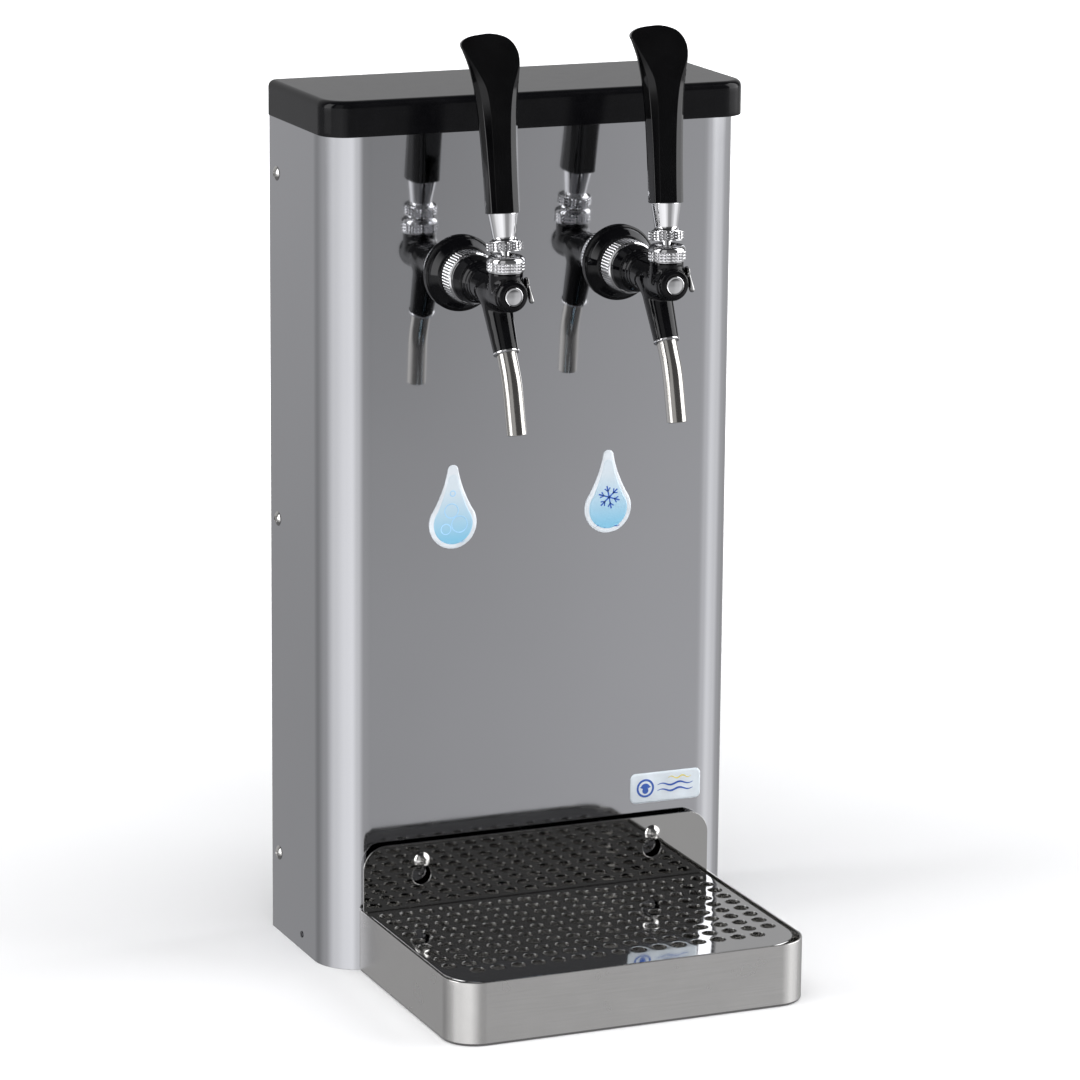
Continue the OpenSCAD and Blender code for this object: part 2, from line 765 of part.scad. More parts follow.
module ferrule(side) {
    color("#d9dadc") at_lever(side) difference() {
        rotate_extrude() polygon([[0, collar_1], [ferrule_foot_r, collar_1],
            [ferrule_low_r + 0.4, collar_1 + 1.6], [ferrule_low_r, collar_1 + 2.6],
            [ferrule_top_r, ferrule_1 - 0.6], [ferrule_top_r, ferrule_1], [0, ferrule_1]]);
        translate([0, 0, collar_1 - cut])
            cylinder(r = stem_r + turn_gap, h = stem_top - collar_1 + cut + 0.2);
    }
}

// A rounded-square ring of the handle at height z of its table
function handle_ring(z) = let (left = lookup(z, HANDLE_LEFT), right = lookup(z, HANDLE_RIGHT),
        front = lookup(z, HANDLE_FRONT), back = lookup(z, HANDLE_BACK), k = paddle_w / HANDLE_TABLE_W)
    [for (i = [0 : handle_sides - 1])
        let (c = cos(360 * i / handle_sides), s = sin(360 * i / handle_sides),
            q = pow(pow(abs(c), handle_power) + pow(abs(s), handle_power), -1 / handle_power))
        [k * (right - left + (right + left) * c * q) / 2, (back - front + (back + front) * s * q) / 2,
            handle_0 + handle_len * z / HANDLE_TABLE_H]];

module handle(side) {
    color("#0a0a0b") at_lever(side) rotate([0, 0, -handle_turn])
        polyhedron(points = [for (z = HANDLE_ZS) each handle_ring(z)],
            faces = tube_faces(len(HANDLE_ZS), handle_sides), convexity = 4);
}

module valve_shaft(side) {
    pocket_deep = 4;
    flare_z = 2.8;
    color("#b9babd") difference() {
        at_tap(side) union() {
            along_y(shaft_guide_r, shaft_front_y, shaft_guide_y1);
            along_y(shaft_stem_r, shaft_guide_y1 - 1, shaft_end_y);
            along_y(seal_r - 0.5, seat_y + 0.15 + seal_t, shaft_end_y);
        }
        translate([side * tap_x - pocket_w / 2, finger_y - pocket_half, tap_z - pocket_deep])
            cube([pocket_w, 2 * pocket_half, 3 * pocket_deep]);
        translate([side * tap_x - pocket_flare_w / 2, finger_y - pocket_flare, tap_z + flare_z])
            cube([pocket_flare_w, 2 * pocket_flare, shaft_guide_r]);
    }
}

module valve_seal(side) {
    y0 = seat_y + 0.1;
    color("#2c2c2e") at_tap(side) difference() {
        along_y(seal_r, y0, y0 + seal_t);
        along_y(shaft_stem_r + turn_gap, y0 - cut, y0 + seal_t + cut);
    }
}

// ---------- drip tray ----------
module drip_tray() {
    wall_y = rear_plate_y;
    half = tray_w / 2;
    lug_in = 34;
    lug_t = 7;
    lug_z = 0.6;
    plate_in = 1;
    color("#a8a8a6") difference() {
        union() {
            difference() {
                linear_extrude(tray_h) front_rounded(tray_w, tray_front_y, tray_rear_y, tray_r);
                translate([0, 0, tray_t]) linear_extrude(tray_h)
                    front_rounded(tray_w - 2 * tray_t, tray_front_y + tray_t, tray_rear_y + cut,
                        tray_r - tray_t);
            }
            difference() {
                translate([-half + plate_in, wall_y, 0])
                    cube([tray_w - 2 * plate_in, tray_t, rear_plate_h]);
                for (s = SIDES) translate([s * (half - plate_in), wall_y, rear_plate_h])
                    rear_corner_cut();
            }
            for (s = SIDES, y = [tray_front_y + lug_in, wall_y - lug_in]) {
                translate([s * (half - tray_t - lug_t / 2 + 0.5), y, (tray_lug_z + lug_z) / 2])
                    cube([lug_t, tray_lug_w, tray_lug_z - lug_z], center = true);
            }
        }
        for (s = SIDES) {
            translate([s * tray_screw_x, 0, tray_screw_z]) {
                along_y(key_slot_r, wall_y - cut, wall_y + tray_t + cut);
                translate([0, 0, -key_drop]) along_y(key_hole_r, wall_y - cut, wall_y + tray_t + cut);
                translate([-key_slot_r, wall_y - cut, -key_drop])
                    cube([2 * key_slot_r, tray_t + 2 * cut, key_drop]);
            }
        }
    }
}

// What is cut off a top corner of the rear plate to round it
module rear_corner_cut() {
    difference() {
        translate([-rear_plate_r, -cut, -rear_plate_r]) cube([2 * rear_plate_r, 4, 2 * rear_plate_r]);
        for (s = SIDES) {
            translate([-s * rear_plate_r, 0, -rear_plate_r]) along_y(rear_plate_r, -2 * cut, 4);
            translate([-s * rear_plate_r - rear_plate_r, -2 * cut, -3 * rear_plate_r])
                cube([2 * rear_plate_r, 8, 2 * rear_plate_r]);
        }
    }
}

function hole_kept(i, j) = !(j == 0 && (i == 0 || i == grille_cols - 1));

module tray_grille() {
    w = tray_w - 2 * (tray_t + grille_gap);
    y0 = tray_front_y + tray_t + grille_front_gap;
    y1 = rear_plate_y - 1;
    color("#b4b5b7") difference() {
        translate([0, 0, grille_top - grille_skirt]) linear_extrude(grille_skirt)
            front_rounded(w, y0, y1, grille_r);
        translate([0, 0, grille_top - grille_skirt - cut])
            linear_extrude(grille_skirt - grille_t + cut)
            front_rounded(w - 2 * grille_t, y0 + grille_t, y1 - grille_t, grille_r - grille_t);
        for (i = [0 : grille_cols - 1], j = [0 : grille_rows - 1]) {
            if (hole_kept(i, j)) {
                translate([(i - (grille_cols - 1) / 2) * grille_pitch_x,
                    grille_row0_y + j * grille_pitch_y, grille_top - grille_t - cut])
                    cylinder(r = grille_hole_d / 2, h = grille_t + 2 * cut, $fn = 32);
            }
        }
    }
}

// Dome-headed screws that the tray's keyholes hang on
module tray_screws() {
    head_y = rear_plate_y - 0.4;
    inside = 9;
    color("#c9cacc") for (s = SIDES) {
        translate([s * tray_screw_x, head_y, tray_screw_z]) rotate([90, 0, 0]) difference() {
            union() {
                rotate_extrude() intersection() {
                    translate([0, tray_head_t - dome_r(tray_head_r, tray_head_t)])
                        circle(dome_r(tray_head_r, tray_head_t));
                    square([tray_head_r, tray_head_t]);
                }
                translate([0, 0, head_y - front_y - inside])
                    cylinder(r = tray_shank_r, h = front_y - head_y + inside + 0.2);
            }
            for (a = [0, 90]) rotate([0, 0, a]) translate([-2.6, -0.5, 2]) cube([5.2, 1, 4]);
        }
    }
}

module tray_rivnuts() {
    head_t = 3.4;
    deep = 12;
    color("#8f9093") for (s = SIDES) {
        translate([s * tray_screw_x, 0, tray_screw_z]) difference() {
            union() {
                along_y(rivnut_r + 1, front_y - head_t, front_y);
                along_y(rivnut_r, front_y - cut, front_y + deep);
            }
            along_y(tray_shank_r + turn_gap, front_y - head_t - cut, front_y + deep + cut);
        }
    }
}

// ---------- signs ----------
// Half outline of a water drop: bulb below, concave flank, small round top
function drop_half(h, w, n) = let (r = w / 2)
    concat([for (k = [0 : n]) let (a = -90 + 128 * k / n) [r * cos(a), r + r * sin(a)]],
        [for (k = [1 : n]) let (t = k / n) drop_flank(h, r, t)],
        [for (k = [1 : n]) let (a = 20 + 70 * k / n) [nub_r * cos(a), h - nub_r + nub_r * sin(a)]]);
// A point of the flank between the bulb and the top
function drop_flank(h, r, t) = let (p = [r * cos(38), r + r * sin(38)], q = [nub_r * cos(20),
        h - nub_r + nub_r * sin(20)], m = [nub_r + 2.2, h * 0.72])
    (1 - t) * (1 - t) * p + 2 * t * (1 - t) * m + t * t * q;

module drop_sign(x, z) {
    half = drop_half(drop_h, drop_w, 10);
    outline = concat(half, [for (k = [len(half) - 2 : -1 : 1]) [-half[k].x, half[k].y]]);
    color("#cfe0ea") translate([x, front_y, z]) rotate([90, 0, 0]) linear_extrude(sign_t)
        polygon(outline);
}

module badge() {
    color("#e6e9ec") translate([badge_x, front_y, badge_z]) rotate([90, 0, 0]) linear_extrude(sign_t)
        union() {
            square([badge_w - 2 * badge_r, badge_h], center = true);
            square([badge_w, badge_h - 2 * badge_r], center = true);
            for (sx = SIDES, sy = SIDES) {
                translate([sx * (badge_w / 2 - badge_r), sy * (badge_h / 2 - badge_r)]) circle(badge_r);
            }
        }
}

// ---------- assembly ----------
front_shell();
rear_panel();
base_plate();
top_lid();
side_screws();
side_nuts();
base_rivets();
tap_backplate();
inlet_bracket();
inlet_fitting(LEFT);  // inlet_fitting_left
inlet_fitting(RIGHT);  // inlet_fitting_right
product_line(LEFT);  // product_line_left
product_line(RIGHT);  // product_line_right
line_sleeve(LEFT);  // line_sleeve_left
line_sleeve(RIGHT);  // line_sleeve_right
wall_flange(LEFT);  // wall_flange_left
wall_flange(RIGHT);  // wall_flange_right
coupling_nut(LEFT);  // coupling_nut_left
coupling_nut(RIGHT);  // coupling_nut_right
shank(LEFT);  // shank_left
shank(RIGHT);  // shank_right
shank_locknut(LEFT);  // shank_locknut_left
shank_locknut(RIGHT);  // shank_locknut_right
tail_elbow(LEFT);  // tail_elbow_left
tail_elbow(RIGHT);  // tail_elbow_right
tap_body(LEFT);  // tap_body_left
tap_body(RIGHT);  // tap_body_right
nozzle_ring(LEFT);  // nozzle_ring_left
nozzle_ring(RIGHT);  // nozzle_ring_right
outlet_tube(LEFT);  // outlet_tube_left
outlet_tube(RIGHT);  // outlet_tube_right
front_cap(LEFT);  // front_cap_left
front_cap(RIGHT);  // front_cap_right
cap_disc(LEFT);  // cap_disc_left
cap_disc(RIGHT);  // cap_disc_right
bonnet_nut(LEFT);  // bonnet_nut_left
bonnet_nut(RIGHT);  // bonnet_nut_right
friction_ring(LEFT);  // friction_ring_left
friction_ring(RIGHT);  // friction_ring_right
flow_lever(LEFT);  // flow_lever_left
flow_lever(RIGHT);  // flow_lever_right
lever_stem(LEFT);  // lever_stem_left
lever_stem(RIGHT);  // lever_stem_right
lever_collar(LEFT);  // lever_collar_left
lever_collar(RIGHT);  // lever_collar_right
ferrule(LEFT);  // ferrule_left
ferrule(RIGHT);  // ferrule_right
handle(LEFT);  // handle_left
handle(RIGHT);  // handle_right
valve_shaft(LEFT);  // valve_shaft_left
valve_shaft(RIGHT);  // valve_shaft_right
valve_seal(LEFT);  // valve_seal_left
valve_seal(RIGHT);  // valve_seal_right
drip_tray();
tray_grille();
tray_screws();
tray_rivnuts();
drop_sign(drop_left_x, drop_left_z);  // drop_sign_left
drop_sign(drop_right_x, drop_right_z);  // drop_sign_right
badge();
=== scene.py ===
"""Looks of a countertop water dispenser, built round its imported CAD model: metres, +Z up, -Y to the user."""

import json
import math

import bmesh
import bpy
import numpy as np
from mathutils import Matrix, Vector


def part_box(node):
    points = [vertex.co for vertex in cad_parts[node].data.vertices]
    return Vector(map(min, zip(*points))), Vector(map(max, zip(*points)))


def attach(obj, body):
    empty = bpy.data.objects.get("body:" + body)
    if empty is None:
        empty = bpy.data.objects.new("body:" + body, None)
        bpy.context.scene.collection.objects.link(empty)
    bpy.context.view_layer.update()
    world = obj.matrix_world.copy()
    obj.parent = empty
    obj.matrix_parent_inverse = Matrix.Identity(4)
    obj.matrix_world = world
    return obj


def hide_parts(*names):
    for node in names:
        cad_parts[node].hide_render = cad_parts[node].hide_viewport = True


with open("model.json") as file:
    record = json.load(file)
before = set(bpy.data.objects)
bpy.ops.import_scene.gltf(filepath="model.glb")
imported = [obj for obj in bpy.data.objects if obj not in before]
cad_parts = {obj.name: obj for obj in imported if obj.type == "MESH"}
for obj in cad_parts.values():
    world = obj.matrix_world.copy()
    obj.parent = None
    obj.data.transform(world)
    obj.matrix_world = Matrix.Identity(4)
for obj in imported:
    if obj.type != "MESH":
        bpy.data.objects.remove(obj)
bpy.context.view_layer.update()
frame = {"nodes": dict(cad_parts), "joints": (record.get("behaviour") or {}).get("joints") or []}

# ---------- places, in millimetres, from the frame ----------
MM = 0.001
SIDES = {"left": -1, "right": 1}


def corners(node):
    """Lowest and highest corner of a CAD node, in millimetres."""
    lo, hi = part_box(node)
    return lo / MM, hi / MM


joints = {j["name"]: j for j in frame["joints"]}
shell_lo, shell_hi = corners("front_shell")
lid_lo, lid_hi = corners("top_lid")
tray_lo, tray_hi = corners("drip_tray")
grille_lo, grille_hi = corners("tray_grille")
front_y = shell_lo.y
tray_head_lo, tray_head_hi = corners("tray_screws")
pivots = {s: Vector(joints["handle_" + s]["pos_m"]) / MM for s in SIDES}
flow_pivots = {s: Vector(joints["flow_control_" + s]["pos_m"]) / MM for s in SIDES}

BARREL_BELOW_PIVOT = 17.5
BARREL_R = 11.75
BARREL_END = front_y - 92
COLLAR_END = front_y - 25
NECK_TOP = 15.2
NOZZLE_Y = front_y - 61
NOZZLE_LEN = 45.5
NOZZLE_LEAN = math.radians(25)
NOZZLE_TURN = math.radians(2)
OUTLET_LEAN = math.radians(10)
HANDLE_TILT = math.radians(9)
HANDLE_TURN = math.radians(13)
LEVER_LEAN = {"left": 0, "right": math.radians(2)}
HANDLE_FOOT = 37.5
TRAY_HANG_X = 90


def move(x, y, z):
    """Shift along the three axes."""
    return Matrix.Translation((x, y, z))


def about(axis, degrees):
    """Rotation about one axis."""
    return Matrix.Rotation(math.radians(degrees), 4, axis)


def barrel_frame(side):
    """Y runs along the barrel of one tap, and the origin is where its axis meets the plane y = 0."""
    p = pivots[side]
    return move(p.x, 0, p.z - BARREL_BELOW_PIVOT)


def barrel_turned(side):
    """Like barrel_frame, with Z along the barrel, so that a turned profile's heights are y values."""
    return barrel_frame(side) @ about("X", -90)


def neck_frame(side):
    """Z runs up the neck of one tap from the barrel's axis."""
    p = pivots[side]
    return move(p.x, p.y, p.z - BARREL_BELOW_PIVOT)


def lever_frame(side):
    """Z runs up the closed lever of one tap from its pivot."""
    lean = Matrix.Rotation(LEVER_LEAN[side], 4, "Y")
    return Matrix.Translation(pivots[side]) @ lean @ Matrix.Rotation(-HANDLE_TILT, 4, "X")


def nozzle_root(side):
    """The nozzle's start on the barrel's axis, turned a little about the barrel."""
    return barrel_frame(side) @ move(0, NOZZLE_Y, 0) @ Matrix.Rotation(-NOZZLE_TURN, 4, "Y")


def nozzle_frame(side):
    """-Z runs down the leaning nozzle of one tap from the barrel's axis."""
    return nozzle_root(side) @ Matrix.Rotation(-NOZZLE_LEAN, 4, "X")


# ---------- outlines ----------
def arc(centre, radius, start, end, steps):
    """Points of an arc, its angles in degrees."""
    out = []
    for k in range(steps + 1):
        a = math.radians(start + (end - start) * k / steps)
        out.append((centre[0] + radius * math.cos(a), centre[1] + radius * math.sin(a)))
    return out


def rounded(points, closed=False, steps=5):
    """An outline through corners (x, y, fillet radius), each fillet drawn as an arc."""
    out = []
    last = len(points) - 1
    for i, (x, y, radius) in enumerate(points):
        if radius == 0 or (not closed and i in (0, last)):
            out.append((x, y))
            continue
        p = Vector((x, y))
        before = Vector(points[i - 1][:2]) - p
        after = Vector(points[(i + 1) % len(points)][:2]) - p
        u, v = before.normalized(), after.normalized()
        half = u.angle(v) / 2
        reach = min(radius / math.tan(half), 0.49 * before.length, 0.49 * after.length)
        centre = p + (u + v).normalized() * (reach / math.cos(half))
        start = math.atan2(*((p + u * reach - centre).yx))
        turn = math.atan2(*((p + v * reach - centre).yx)) - start
        turn = (turn + math.pi) % (2 * math.pi) - math.pi
        size = reach * math.tan(half)
        for k in range(steps + 1):
            a = start + turn * k / steps
            out.append((centre.x + size * math.cos(a), centre.y + size * math.sin(a)))
    return out


def plan(x0, x1, y0, y1, front_r, rear_r, inset=0, steps=14):
    """A rectangle with round front corners and round rear corners, drawn in by inset."""
    fr, rr = max(front_r - inset, 0.6), max(rear_r - inset, 0.6)
    box = [
        (x0 + inset, y0 + inset, fr),
        (x1 - inset, y0 + inset, fr),
        (x1 - inset, y1 - inset, rr),
        (x0 + inset, y1 - inset, rr),
    ]
    return rounded(box, closed=True, steps=steps)


def spline(table, t, column):
    """Smooth value at t of a column of a table whose rows start with rising t."""
    rows = [r[0] for r in table]
    i = max(0, min(len(table) - 2, sum(1 for r in rows if r <= t) - 1))
    p = [table[max(0, min(len(table) - 1, i + k))] for k in (-1, 0, 1, 2)]
    h = p[2][0] - p[1][0]
    u = (t - p[1][0]) / h
    slope = [
        (p[k + 1][column] - p[k - 1][column]) / max(p[k + 1][0] - p[k - 1][0], 1e-6) * h for k in (1, 2)
    ]
    a, b = p[1][column], p[2][column]
    return (
        a * (2 * u**3 - 3 * u**2 + 1)
        + slope[0] * (u**3 - 2 * u**2 + u)
        + b * (3 * u**2 - 2 * u**3)
        + slope[1] * (u**3 - u**2)
    )


# ---------- meshes: each builder gives points in millimetres and faces ----------
def strips(rings, closed=False):
    """Faces between neighbouring rings of point numbers, and from the last to the first when closed."""
    faces = []
    for low, high in list(zip(rings, rings[1:])) + ([(rings[-1], rings[0])] if closed else []):
        for k in range(len(low)):
            n = (k + 1) % len(low)
            face = list(dict.fromkeys((low[k], low[n], high[n], high[k])))
            if len(face) > 2:
                faces.append(face)
    return faces


def raised(outline, z):
    """An outline as a ring at height z."""
    return [(x, y, z) for x, y in outline]


def lathe(profile, matrix, steps=96, closed=False):
    """A profile (radius, height) turned about the Z axis of matrix; closed for a ring with a bore."""
    verts, rings = [], []
    for r, h in profile:
        if r < 1e-6:
            rings.append([len(verts)] * steps)
            verts.append(Vector((0, 0, h)))
            continue
        rings.append(list(range(len(verts), len(verts) + steps)))
        verts += [Vector((r * math.cos(a), r * math.sin(a), h)) for a in sector_angles(steps)]
    return [matrix @ v for v in verts], strips(rings, closed)


def loft(rings, matrix=Matrix.Identity(4), closed=False):
    """Skin over rings of equal length, with its ends filled, or joined when closed."""
    n = len(rings[0])
    verts = [matrix @ Vector(p) for ring in rings for p in ring]
    numbers = [list(range(i * n, i * n + n)) for i in range(len(rings))]
    faces = strips(numbers, closed)
    if not closed:
        faces += [numbers[0][::-1], numbers[-1]]
    return verts, faces


def merged(*parts):
    """Several builders' results as one."""
    verts, faces = [], []
    for v, f in parts:
        faces += [[i + len(verts) for i in face] for face in f]
        verts += v
    return verts, faces


def knurl(radius, h0, h1, pitch, rows, depth, inner, matrix, soft=0.5, crown=None):
    """A ring knurled in squares from h0 to h1, with plain rims of height soft, a bore and a crown."""
    teeth = round(2 * math.pi * radius / pitch)
    phases = (0.0, 0.27, 0.73)
    angles = [(2 * math.pi * (k + ph) / teeth, ph) for k in range(teeth) for ph in phases]
    step = (h1 - h0 - 2 * soft) / rows
    heights = [(h0 + soft + step * (k + ph), ph) for k in range(rows) for ph in phases]
    heights.append((h1 - soft, 0.0))
    low = radius - depth

    def circle(h, r, tooth_r=None):
        sizes = [tooth_r if tooth_r and phase else r for _, phase in angles]
        return [(size * math.cos(a), size * math.sin(a), h) for size, (a, _) in zip(sizes, angles)]

    rings = [circle(h0, inner), circle(h0, low)]
    rings += [circle(h, low, radius if row_phase else None) for h, row_phase in heights]
    rings += [circle(h, r) for r, h in crown or [(low, h1)]]
    rings.append(circle(rings[-1][0][2], inner))
    return loft(rings, matrix, closed=True)


def dome_head(radius, height, matrix, arm, slot, deep):
    """A domed screw head with a crossed recess."""
    ball = (radius**2 + height**2) / (2 * height)
    skirt, rings_n, sectors = 0.25, 22, sector_angles(72)
    rings = [[(radius * math.cos(a), radius * math.sin(a), 0) for a in sectors]]
    for i in range(rings_n + 1):
        r = radius * (1 - i / rings_n) + 0.02
        z = math.sqrt(max(ball**2 - min(r, radius) ** 2, 0)) - (ball - height) + skirt
        ring = []
        for a in sectors:
            x, y = r * math.cos(a), r * math.sin(a)
            u, v = sorted((abs(x), abs(y)))
            inside = ease((slot / 2 - u) / 0.3 + 0.5) * ease((arm - v) / 0.5 + 0.5)
            ring.append((x, y, z - deep * inside * (1 - 0.5 * v / arm)))
        rings.append(ring)
    return loft(rings, matrix)


def sector_angles(n):
    return [2 * math.pi * k / n for k in range(n)]


def ease(t):
    """Smooth step from 0 to 1."""
    t = max(0.0, min(1.0, t))
    return t * t * (3 - 2 * t)


def prism(outline, z0, z1, edge):
    """An outline raised from z0 to z1 with both its edges rounded; the outline is convex enough to inset."""
    stations = arc((edge, z0 + edge), edge, 270, 180, 3) + arc((edge, z1 - edge), edge, 180, 90, 3)
    return loft([raised(inset_outline(outline, d), z) for d, z in stations])


def inset_outline(outline, distance):
    """The outline moved in along its own normals; it runs counter-clockwise."""
    n = len(outline)
    out = []
    for i in range(n):
        a, p, b = Vector(outline[i - 1]), Vector(outline[i]), Vector(outline[(i + 1) % n])
        along = ((p - a).normalized() + (b - p).normalized()).normalized()
        out.append((p.x - along.y * distance, p.y + along.x * distance))
    return out


def sweep(path, radii, steps, matrix):
    """Rings of a round tube along a path that lies in a plane of constant x."""
    rings = []
    u = Vector((1, 0, 0))
    for i, (p, r) in enumerate(zip(path, radii)):
        ahead = Vector(path[min(i + 1, len(path) - 1)]) - Vector(path[max(i - 1, 0)])
        v = ahead.normalized().cross(u)
        rings.append([matrix @ (p + r * (math.cos(a) * u + math.sin(a) * v)) for a in sector_angles(steps)])
    return rings


# ---------- objects ----------
def piece(name, geometry, body, look, stands_for=(), sharp=32, bevel=0):
    """An object made of a builder's result. It rides on a body and stands for CAD nodes."""
    verts, faces = geometry
    mesh = bpy.data.meshes.new(name)
    mesh.from_pydata([Vector(v) * MM for v in verts], [], faces)
    mesh.validate()
    edit = bmesh.new()
    edit.from_mesh(mesh)
    bmesh.ops.recalc_face_normals(edit, faces=edit.faces)
    edit.to_mesh(mesh)
    edit.free()
    mesh.shade_smooth()
    if bevel:
        mesh.update()
    else:
        mesh.set_sharp_from_angle(angle=math.radians(sharp))
    obj = bpy.data.objects.new(name, mesh)
    bpy.context.scene.collection.objects.link(obj)
    if bevel:
        mod = obj.modifiers.new("edges", "BEVEL")
        mod.width = bevel * MM
        mod.segments = 3
        mod.limit_method = "ANGLE"
        mod.angle_limit = math.radians(40)
        mod.harden_normals = True
    else:
        mod = obj.modifiers.new("flats", "WEIGHTED_NORMAL")
        mod.keep_sharp = True
    mesh.materials.append(look.material)
    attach(obj, body)
    if stands_for:
        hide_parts(*stands_for)


# ---------- materials ----------
class Look:
    """A Principled material with procedural variation, in the object's own coordinates."""

    def __init__(self, name, color, metallic=0.0, roughness=0.3, **sockets):
        self.material = bpy.data.materials.new(name)
        self.material.use_nodes = True
        self.tree = self.material.node_tree
        self.new, self.link = self.tree.nodes.new, self.tree.links.new
        self.shader = self.tree.nodes["Principled BSDF"]
        self.shader.inputs["Base Color"].default_value = (*color, 1)
        self.shader.inputs["Metallic"].default_value = metallic
        self.shader.inputs["Roughness"].default_value = roughness
        for key, value in sockets.items():
            self.shader.inputs[key.replace("_", " ")].default_value = value
        self.place = self.new("ShaderNodeTexCoord").outputs["Object"]

    def noise(self, size_mm, stretch=(1, 1, 1), detail=3.0):
        """Noise whose blotches are about size_mm across, drawn out along an axis by a small stretch value."""
        mapping = self.new("ShaderNodeMapping")
        mapping.inputs["Scale"].default_value = stretch
        self.link(self.place, mapping.inputs["Vector"])
        node = self.new("ShaderNodeTexNoise")
        node.inputs["Scale"].default_value = 1 / (size_mm * MM)
        node.inputs["Detail"].default_value = detail
        self.link(mapping.outputs["Vector"], node.inputs["Vector"])
        return node.outputs["Fac"]

    def ranged(self, value, low, high, start=0.3, end=0.7):
        """Value from start to end, mapped to low to high."""
        node = self.new("ShaderNodeMapRange")
        for key, level in (("From Min", start), ("From Max", end), ("To Min", low), ("To Max", high)):
            node.inputs[key].default_value = level
        self.link(value, node.inputs["Value"])
        return node.outputs["Result"]

    def ramp(self, value, dark, light, start, end, interpolation="LINEAR"):
        """Colour that runs from dark to light as value runs from start to end."""
        node = self.new("ShaderNodeValToRGB")
        node.color_ramp.interpolation = interpolation
        for stop, place, color in zip(node.color_ramp.elements, (start, end), (dark, light)):
            stop.position = place
            stop.color = (*color, 1)
        self.link(value, node.inputs["Fac"])
        return node.outputs["Color"]

    def tint(self, value, dark, light, start=0.3, end=0.7):
        """Base colour that runs from dark to light with value."""
        color = self.ramp(value, dark, light, start, end)
        self.link(color, self.shader.inputs["Base Color"])
        return self

    def gloss(self, value, low, high):
        """Roughness that runs from low to high with value."""
        self.link(self.ranged(value, low, high), self.shader.inputs["Roughness"])
        return self

    def bump(self, value, distance_mm):
        """Relief that follows value and is distance_mm high."""
        node = self.new("ShaderNodeBump")
        node.inputs["Distance"].default_value = distance_mm * MM
        self.link(value, node.inputs["Height"])
        self.link(node.outputs["Normal"], self.shader.inputs["Normal"])
        return self


def metal(name, color, low, high, spot_mm=30, spread=0.04):
    """Polished or satin metal: tone and gloss drift slowly over the surface."""
    look = Look(name, color, metallic=1.0)
    look.tint(look.noise(spot_mm), tuple(c * (1 - spread) for c in color), color)
    return look.gloss(look.noise(spot_mm / 4), low, high)


def brushed(name, color, low, high, along="x", grain_mm=0.5, spread=0.06):
    """Stainless sheet with fine straight grain along one axis, seen as a change of tone."""
    look = Look(name, color, metallic=1.0)
    stretch = [0.02 if axis == along else 1.0 for axis in "xyz"]
    dark = tuple(c * (1 - spread) for c in color)
    look.tint(look.noise(grain_mm, stretch, detail=2), dark, color)
    return look.gloss(look.noise(25), low, high)


def plastic(name, color, low, high, grain_mm=0.25, depth=0.002, **sockets):
    """Moulded or painted plastic with a faint orange-peel skin."""
    look = Look(name, color, **sockets)
    lighter = tuple(min(1, c * 1.25 + 0.001) for c in color)
    look.tint(look.noise(18), color, lighter)
    look.gloss(look.noise(9), low, high)
    return look.bump(look.noise(grain_mm), depth)


steel_shell = metal("shell_steel", (0.60, 0.605, 0.625), 0.035, 0.06, spot_mm=90, spread=0.02)
steel_panel = brushed("rear_panel_steel", (0.56, 0.565, 0.58), 0.22, 0.3, along="z")
steel_plain = brushed("inner_steel", (0.55, 0.55, 0.56), 0.28, 0.38, along="x")
steel_tray = brushed("tray_steel", (0.76, 0.75, 0.73), 0.22, 0.28, along="x", grain_mm=0.6, spread=0.05)
steel_plate = metal("tray_back_steel", (0.55, 0.545, 0.53), 0.03, 0.05, spot_mm=60)
steel_grille = metal("grille_steel", (0.60, 0.60, 0.60), 0.045, 0.075, spot_mm=25)
steel_outlet = brushed("outlet_steel", (0.58, 0.565, 0.535), 0.13, 0.18, along="z", grain_mm=0.4, spread=0.08)
steel_screw = metal("screw_steel", (0.70, 0.69, 0.67), 0.1, 0.18, spot_mm=6)
steel_lever = metal("flow_lever_steel", (0.66, 0.66, 0.65), 0.06, 0.12, spot_mm=5)
chrome = metal("chrome", (0.86, 0.86, 0.87), 0.03, 0.06, spot_mm=12, spread=0.02)
chrome_knurl = metal("knurled_chrome", (0.84, 0.84, 0.85), 0.06, 0.11, spot_mm=8)
rivet_dark = metal("rivet_dark", (0.16, 0.16, 0.17), 0.3, 0.42, spot_mm=3, spread=0.2)
brass = metal("brass", (0.66, 0.50, 0.22), 0.2, 0.3, spot_mm=8, spread=0.1)
black_lid = plastic("lid_black", (0.002, 0.002, 0.0025), 0.12, 0.15, grain_mm=0.9, depth=0.0004, IOR=1.3)
black_tap = plastic("tap_black", (0.0015, 0.0015, 0.002), 0.04, 0.07, grain_mm=0.9, depth=0.0004, IOR=1.36)
black_handle = plastic("handle_black", (0.001, 0.001, 0.0012), 0.02, 0.035, grain_mm=4, depth=0.001, IOR=1.42)
black_fitting = plastic("fitting_black", (0.02, 0.02, 0.022), 0.35, 0.45, depth=0.006)
line_white = plastic("line_plastic", (0.75, 0.79, 0.80), 0.25, 0.35)
ring_white = plastic("friction_white", (0.80, 0.78, 0.73), 0.3, 0.4)
foam = plastic("foam_black", (0.018, 0.018, 0.02), 0.85, 0.95, grain_mm=1.2, depth=0.12)
rubber = plastic("seal_rubber", (0.03, 0.03, 0.032), 0.5, 0.65, grain_mm=0.4, depth=0.01)
sign_rim = plastic("sign_rim", (0.62, 0.66, 0.70), 0.12, 0.2, Coat_Weight=0.6)
sign_print = plastic("sign_print_blue", (0.03, 0.10, 0.42), 0.2, 0.3, Coat_Weight=0.6)
sign_soft = plastic("sign_print_soft", (0.32, 0.56, 0.78), 0.2, 0.3, Coat_Weight=0.6)
